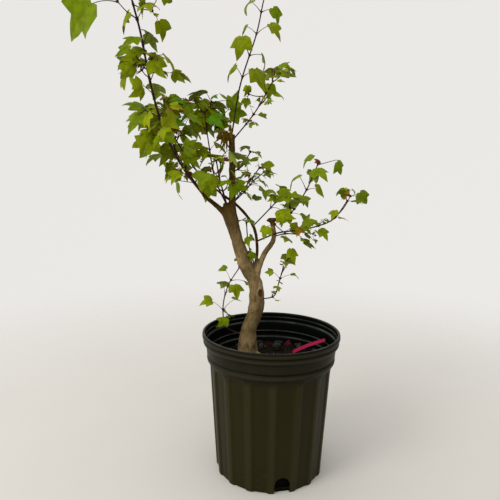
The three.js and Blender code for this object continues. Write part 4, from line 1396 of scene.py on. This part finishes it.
def leaf_at(frame_here, turn, size, draw, shoot):
    """A leaf of a shoot, which may set its stalk's share of the blade's length, its droop, its facing and
    the size from which it is a spray."""
    point, along, back, side = frame_here
    real = size * between(SIZE_RANGE, draw)
    return dict(
        foot=point, along=along, out=back * math.cos(turn) + side * math.sin(turn), size=real,
        stalk=real * shoot.get("stalk", STALK_SHARE) * between(STALK_RANGE, draw),
        splay=angle_near(STALK_SPLAY, SPLAY_SPREAD, draw),
        droop=angle_near(shoot.get("droop", LEAF_DROOP), DROOP_SPREAD, draw),
        roll=angle_near(0, ROLL_SPREAD, draw), swing=angle_near(0, SWING_SPREAD, draw),
        facing=unit(np.array(shoot.get("facing", LIGHT), float)), spray=shoot.get("spray", SPRAY_SIZE),
    )


def frame_at(line, length):
    points, along = line.at(length)
    back, side = square_frames(along)
    return points[0], along[0], back[0], side[0]


def side_twig_line(frame_here, out, length):
    """A twig in an axil, bending up from its splay towards the stem's own direction."""
    point, along, _, _ = frame_here
    splay = math.radians(TWIG_SPLAY)
    away = along * math.cos(splay) + out * math.sin(splay)
    bent = unit(away + TWIG_RISE * along)
    middle = point + away * length / 2
    return GrowthLine((point, middle, middle + bent * length / 2))


def dress_shoot(crown, line, shoot, draw, fine, tints, depth=0):
    """Pairs of leaves and side twigs along a shoot, with buds and young leaves in its axils and at its
    tip."""
    last = line.length - END_INSET
    first = shoot.get("first", last)
    nodes = []
    for pair in range(shoot["pairs"]):
        share = pair / (shoot["pairs"] - 1) if shoot["pairs"] > 1 else 1
        length = first + (last - first) * share
        nodes.append(length)
        here = frame_at(line, length)
        turn = angle_near(shoot["turn"] + shoot.get("step", PAIR_STEP) * (pair % 2), PAIR_SPREAD, draw)
        size = float(np.interp(share, (0, 0.5, 1), shoot["sizes"]))
        branches = draw() < shoot.get("branch", 0)
        tint = tints(here[0], fine)
        for opposite in (0, math.pi):
            leaf = leaf_at(here, turn + opposite, size, draw, shoot)
            place_leaf(crown, leaf, tint, fine)
            twig_length = TWIG_LENGTH * between(TWIG_RANGE, draw)
            twig_draw = NumberStream(int(draw() * TWIG_SEEDS))
            if branches:
                branch = side_twig_line(here, leaf["out"], twig_length)
                small = dict(pairs=1, turn=180 * twig_draw(), sizes=(size * TWIG_LEAF_SHARE,) * 3)
                crown.stems.append((branch, TWIG_RADII, [branch.length - END_INSET], 1))
                dress_shoot(crown, branch, small, twig_draw, fine, tints, depth + 1)
            elif depth == 0:
                dress_axil(crown, here, leaf["out"], fine, size)
    tip = frame_at(line, line.length)
    crown.buds.append((tip[0] + tip[1] * TIP_BUD_REACH, tip[1], TIP_BUD))
    add_young_pair(crown, tip, shoot["sizes"][2], TIP_LEAF, fine, {"droop": YOUNG_DROOP})
    return nodes


def dress_axil(crown, here, out, fine, size):
    """A bud in an axil, and on some a short shoot with two small leaves."""
    point, along, _, _ = here
    bud = point + (along * BUD_LEAN[0] + out * BUD_LEAN[1]) * BUD_REACH
    crown.buds.append((bud, unit(along + BUD_LEAN[1] * out), AXIL_BUD))
    if fine() < AXIL_SHARE:
        short = side_twig_line(here, out, between(AXIL_TWIG, fine))
        crown.stems.append((short, FINE_RADII, [], 1))
        add_young_pair(crown, frame_at(short, short.length), size, AXIL_LEAF, fine, {})


def add_young_pair(crown, tip, size, shares, fine, rule):
    """Two young leaves at a tip, each a share of a full leaf's size."""
    turn = 2 * math.pi * fine()
    for opposite in (0, math.pi):
        young = leaf_at(tip, turn + opposite, size * between(shares, fine), fine, rule)
        place_leaf(crown, young, YOUNG_TINTS[int(fine() * len(YOUNG_TINTS))], fine)


def spray_tints(main, main_share=MAIN_TINT_SHARE):
    """How a mass's sprays are tinted: yellower high up and to the left as painted light, deeper low down and
    inside as painted shade, with some chance. Where a mass has a main tint, most of its sprays have that."""

    def tint(point, fine):
        # Painted light and shade: the share rises towards the light, high and to the left.
        left = (TINT_MIDDLE[0] - point[0]) / TINT_SPAN[0]
        high = (point[2] - TINT_MIDDLE[1]) / TINT_SPAN[1]
        place = TINT_START + TINT_WEIGHTS[1] * high + TINT_WEIGHTS[0] * left
        share = np.clip(place + TINT_CHANCE * (fine() - 0.5), 0, 0.999)
        usual = TINT_ORDER[int(share * len(TINT_ORDER))]
        return TINT_NAMES.index(main) if main and fine() < main_share else usual

    return tint


def blade_template():
    """Angles and reaches of a blade's two rings, and the middle vein's column, which is doubled into a
    strip."""
    left = [(-angle, reach) for angle, reach in BLADE_HALF[-2:0:-1]]
    rings = []
    for half, share in zip(VEIN_HALF, BLADE_RINGS):
        outline = left + [(-half, BLADE_HALF[0][1]), (half, BLADE_HALF[0][1])] + list(BLADE_HALF[1:])
        rings.append([(angle, reach * share) for angle, reach in outline])
    angle, reach = np.moveaxis(np.array(rings), -1, 0)
    return np.radians(angle), reach, len(left)


def blade_faces(columns, vein):
    """Faces of the upper side and the underside, which meet at the rim, with their kinds: 0 leaf, 1 vein,
    2 underside. The points are the upper hub, middle ring and rim, then the lower hub and middle ring."""
    upper = (np.arange(columns) == vein).astype(int)
    under = np.full(columns, 2)
    low_hub = 1 + 2 * columns
    upper_ring = grid_faces(2, columns) + 1
    lower_ring = np.roll((upper_ring + (low_hub, low_hub, 0, 0))[:, ::-1], -1, axis=1)
    upper_fan = fan_faces(0, 1, columns, turned=True)
    lower_fan = fan_faces(low_hub, low_hub + 1, columns)
    return (upper_fan, upper_ring, lower_fan, lower_ring), (upper, upper, under, under)


def add_blades(pile, leaves, vein, under):
    """All blades at once. In a blade's own plane a point lies at reach times (sin angle, cos angle). The
    plane is bent into arcs along and across, twisted along its length, and set at the stalk's end."""
    angle, reach, middle = blade_template()
    columns = angle.shape[1]
    flat_x = np.concatenate([[0], (reach * np.sin(angle)).ravel()])
    flat_y = np.concatenate([[0], (reach * np.cos(angle)).ravel()])
    raised = np.zeros_like(flat_x)
    raised[1:1 + columns] = np.where(np.isin(np.arange(columns), (middle, middle + 1)), 0, BLADE_RAISE)
    shape = ("size", "bend", "cup", "width", "skew", "phase", "twist", "end", "across", "axis", "face")
    values = (np.array([leaf[key] for leaf in leaves])[:, None] for key in shape)
    size, bend, cup, width, skew, phase, twist, end, across_way, axis, face = values
    x = flat_x * width * (1 + skew * np.sign(flat_x))
    along = np.sin(bend * flat_y) / bend
    sag = (1 - np.cos(bend * flat_y)) / bend
    across = np.sin(cup * x) / cup
    fold = (1 - np.cos(cup * x)) / cup
    wave = RIM_WAVE * np.sin(RIM_WAVES * flat_y + phase) * np.abs(flat_x)
    lift = raised + wave - sag - fold
    turn = twist * flat_y
    across, lift = across * np.cos(turn) - lift * np.sin(turn), across * np.sin(turn) + lift * np.cos(turn)
    upper = end + (size * across)[..., None] * across_way + (size * along)[..., None] * axis
    upper = upper + (size * lift)[..., None] * face
    lower = upper[:, :1 + columns] - BLADE_THICKNESS * face
    faces, kinds = blade_faces(columns, middle)
    for body, leaf in zip(np.concatenate((upper, lower), 1), leaves):
        tints = np.array([leaf["tint"], leaf["tint"] if vein is None else vein, under])
        pile.add(body, faces, [tints[kind] for kind in kinds])


def shape_leaves(leaves, seed):
    """Each leaf's own bend along, cup across, width, unlikeness of its halves, waves and twist."""
    draw = np.random.default_rng(seed)
    for leaf in leaves:
        leaf["bend"] = draw.uniform(*BLADE_BEND)
        leaf["cup"] = draw.choice((-1, 1), p=(CUPPED_UP, 1 - CUPPED_UP)) * draw.uniform(*BLADE_CUP)
        leaf["width"] = draw.uniform(*BLADE_WIDTH)
        leaf["skew"] = BLADE_SKEW * draw.normal()
        leaf["phase"] = draw.uniform(0, 2 * math.pi)
        leaf["twist"] = BLADE_TWIST * draw.normal()


def add_stalks(pile, leaves, tints):
    """Leaf stalks: a tapering tube on a parabola that rises a little above the straight way to the blade,
    thick at its foot and at the blade."""
    share = np.linspace(0, 1, STALK_ROWS)
    turn = full_turn(STALK_SIDES)[None, :, None]
    taper = STALK_FOOT - STALK_THINNING * smooth_step(share * 2.2) + STALK_END * smooth_step(share * 6 - 5)
    for leaf in leaves:
        way = leaf["stalk_way"]
        arch = (4 * share * (1 - share))[:, None] * (UP * (STALK_RISE * leaf["stalk"]))
        middle = leaf["foot"] + (share * leaf["stalk"])[:, None] * way + arch
        flat = unit(leaf["across"] - way * (way @ leaf["across"]))
        over = np.cross(flat, way)
        radius = taper * np.clip(leaf["size"] / STALK_LEAF, *STALK_SIZES)
        rings = middle[:, None] + radius[:, None, None] * (np.cos(turn) * over + np.sin(turn) * flat)
        pile.add(*capped_tube(rings, middle), [tints[leaf["tint"]]] * 3)


def add_stems(pile, stems):
    """Stems: a tapering tube with a swelling at each node and a rounded tip."""
    for line, radii, nodes, tint in stems:
        lengths = np.linspace(0, line.length, max(6, round(line.length / STEM_STEP)))
        radius = STEM_SHARE * radii_at(radii, lengths / line.length)
        for node in nodes:
            radius = radius * (1 + NODE_SWELLING * bell((lengths - node) / NODE_HALF))
        radius[-1] *= STEM_END
        pile.add(*capped_tube(*tube(line, lengths, radius[:, None], STEM_SIDES)), [tint] * 3)


def add_buds(pile, buds):
    """Buds: pointed balls, longer along the shoot."""
    shape, faces = ball(*BUD_GRID)
    pointed = shape * (1, 1, BUD_STRETCH) * (1 - BUD_POINT * (shape[:, 2:] + 1))
    for point, along, size in buds:
        back, side = square_frames(along[None])
        pile.add(point + size * pointed @ np.stack((side[0], -back[0], along)), faces)


def grow_shoot(crown, line, shoot, tints):
    """A stem or a listed twig with all that grows on it, from its own seed. Gives its nodes' lengths."""
    before = len(crown.leaves)
    draw, fine = NumberStream(shoot["seed"]), NumberStream(shoot["seed"] + FINE_SEEDS)
    nodes = dress_shoot(crown, line, shoot, draw, fine, tints)
    shape_leaves(crown.leaves[before:], shoot["seed"])
    return nodes


def grow_mass(crown, growth):
    """A mass by the rule: its listed twigs, then its main stem."""
    line = line_of(growth)
    twigs = growth.get("twigs", ())
    tints = spray_tints(growth.get("tint"))
    for each in twigs:
        twig_line = GrowthLine.grown(line.at(each["at"])[0][0], each["stretches"])
        nodes = grow_shoot(crown, twig_line, each, spray_tints(each["tint"], 1) if "tint" in each else tints)
        crown.stems.append((twig_line, TWIG_RADII, nodes, 0))
    nodes = grow_shoot(crown, line, growth, tints)
    crown.stems.append((line, growth["radii"], nodes + [each["at"] for each in twigs], 0))


def wilt(crown):
    """A dead leaf whose narrow curled lobes hang in a bunch at the front left of the leader's top."""
    foot = lines["leader"].at(lines["leader"].length)[0][0] + WILTED_FOOT
    for lean, size, roll in WILTED_LOBES:
        axis = unit(np.array([math.sin(math.radians(lean)), -WILTED_FORWARD, -math.cos(math.radians(lean))]))
        face = turned(unit(axis * (axis @ BACK) - BACK), axis, math.radians(roll))
        crown.leaves.append(dict(
            foot=foot - WILTED_STALK * axis, stalk_way=axis, stalk=WILTED_STALK, end=foot, axis=axis,
            face=face, across=np.cross(axis, face), size=size,
        ))
    draw = np.random.default_rng(5)
    for leaf in crown.leaves:
        leaf["tint"] = WITHERED if leaf["size"] < WITHERED_SIZE else 0
        leaf["bend"] = draw.uniform(*WILTED_BEND)
        leaf["cup"] = draw.uniform(*WILTED_CUP) * draw.choice((-1, 1))
        leaf["width"] = draw.uniform(*WILTED_WIDTH)
        leaf["skew"] = leaf["phase"] = 0
        leaf["twist"] = draw.uniform(-WILTED_TWIST, WILTED_TWIST)


def make_crown():
    """Every mass, with leaves, stems and stalks each joined into one piece, and the wilted leaves apart."""
    living, wilted = Crown(), Crown()
    for name, growth in MASSES.items():
        grow_mass(wilted if name == "wilted_tuft" else living, growth)
    wilt(wilted)
    blades, dead, stems, stalks = (Pile() for _ in range(4))
    add_blades(blades, living.leaves, VEIN, UNDER)
    add_blades(dead, wilted.leaves, None, WITHERED)
    add_stems(stems, living.stems + wilted.stems)
    add_buds(stems, living.buds)
    brownish = [int(name in ("leaf_deep", "leaf_green")) for name in TINT_NAMES]
    add_stalks(stalks, living.leaves + wilted.leaves, brownish)
    leaf_tints = [leaf_finish(name, colour) for name, colour in LEAF_TINTS.items()]
    leafy = [name for name in MASSES if name != "wilted_tuft"]
    fit_piece(blades.made("leaf_blades"), leaf_tints, leafy, sharp=BLADE_CREASE)
    withered = [leaf_finish("leaf_wilted", (0.105, 0.068, 0.003), 0.7),
                leaf_finish("leaf_withered", (0.12, 0.042, 0.004), 0.7)]
    fit_piece(dead.made("wilted_leaves"), withered, ["wilted_tuft"], sharp=BLADE_CREASE)
    stem_tints = [stem_finish("stem_maroon", (0.022, 0.009, 0.007), (0.06, 0.022, 0.014)),
                  stem_finish("stem_young", (0.045, 0.022, 0.012), (0.1, 0.05, 0.022))]
    fit_piece(stems.made("shoot_stems"), stem_tints)
    stalk_tints = [stem_finish("stalk_red", (0.09, 0.022, 0.016), (0.17, 0.05, 0.03)),
                   stem_finish("stalk_brown", (0.04, 0.02, 0.014), (0.08, 0.045, 0.025))]
    fit_piece(stalks.made("leaf_stalks"), stalk_tints)


# Camera and stage

def make_camera():
    data = bpy.data.cameras.new("front_camera")
    data.lens = LENS
    data.sensor_width = SENSOR
    camera = object_of("front_camera", data)
    tilt = Matrix.Rotation(math.radians(90 - PITCH), 4, "X") @ Matrix.Rotation(math.radians(ROLL), 4, "Z")
    camera.matrix_world = Matrix.Translation(Vector(EYE) * MM) @ tilt
    bpy.context.scene.camera = camera


def make_key_light():
    data = bpy.data.lights.new("key_light", "AREA")
    data.shape = "DISK"
    data.size = KEY_SIZE * MM
    data.energy = KEY_POWER
    data.color = KEY_TINT
    lamp = object_of("key_light", data)
    lamp.location = Vector(KEY_PLACE) * MM
    lamp.rotation_mode = "QUATERNION"
    lamp.rotation_quaternion = (Vector(KEY_TARGET) - Vector(KEY_PLACE)).to_track_quat("-Z", "Y")
    lamp.visible_camera = False


def make_soft_light():
    """Light from all round, brighter from the side that SOFT_LIGHT_SIDE points to."""
    world = bpy.data.worlds.new("studio")
    bpy.context.scene.world = world
    world.use_nodes = True
    nodes = NodeTree(world.node_tree)
    way = nodes.node("ShaderNodeTexCoord", output="Generated")
    facing = nodes.node("ShaderNodeVectorMath", {"operation": "DOT_PRODUCT"}, {0: way, 1: SOFT_LIGHT_SIDE})
    dim, bright = SOFT_LIGHT_RANGE
    limits = {"Value": facing, "From Min": -1, "To Min": dim, "To Max": bright}
    strength = nodes.node("ShaderNodeMapRange", inputs=limits)
    nodes.feed(world.node_tree.nodes["Background"], {"Color": BACKDROP_TINT, "Strength": strength})


def make_backdrop():
    """A pale ball round everything. It is seen only by the camera and lights nothing."""
    points, faces = ball(*BACKDROP_GRID)
    backdrop = body_of("backdrop", *inside_out(points * BACKDROP_REACH, faces))
    finish = Finish("backdrop")
    glow = {"Base Color": (0, 0, 0), "Emission Color": BACKDROP_TINT, "Emission Strength": 1.0}
    finish.feed(finish.tree.nodes["Principled BSDF"], glow)
    backdrop.data.materials.append(finish.material)
    backdrop.visible_diffuse = False
    backdrop.visible_glossy = False
    backdrop.visible_shadow = False


def make_floor():
    """A pale disc that fades out into the backdrop."""
    finish = Finish("pale_floor")
    colour = finish.blend((0.7, 0.68, 0.64), (0.74, 0.72, 0.68), finish.noise(6, 2))
    reach = finish.node("ShaderNodeVectorMath", {"operation": "LENGTH"}, {0: finish.place})
    fade = finish.step(reach, *(distance * MM for distance in FLOOR_FADE))
    faded = {"Base Color": colour, "Roughness": 0.8, "Alpha": 1 - fade}
    finish.feed(finish.tree.nodes["Principled BSDF"], faded)
    angle = full_turn(FLOOR_SIDES)
    ring = np.stack((np.cos(angle), np.sin(angle), 0 * angle), 1) * FLOOR_REACH
    points = np.vstack((ring, np.zeros((1, 3))))
    floor = body_of("pale_floor", points, [fan_faces(FLOOR_SIDES, 0, FLOOR_SIDES)])
    floor.data.materials.append(finish.material)


# Lines of the limbs, and points along them that leaves keep off.
lines = {}
for limb_name, limb in BARK_LIMBS.items():
    lines[limb_name] = line_of(limb)
LIMB_SAMPLES = limb_samples(CLEAR_SAMPLES)

bpy.context.scene.view_settings.view_transform = "Standard"
make_camera()
make_soft_light()
make_backdrop()
make_floor()
make_key_light()
make_pot()
make_soil()
make_soil_grains()
make_label()
make_bark()
make_crown()
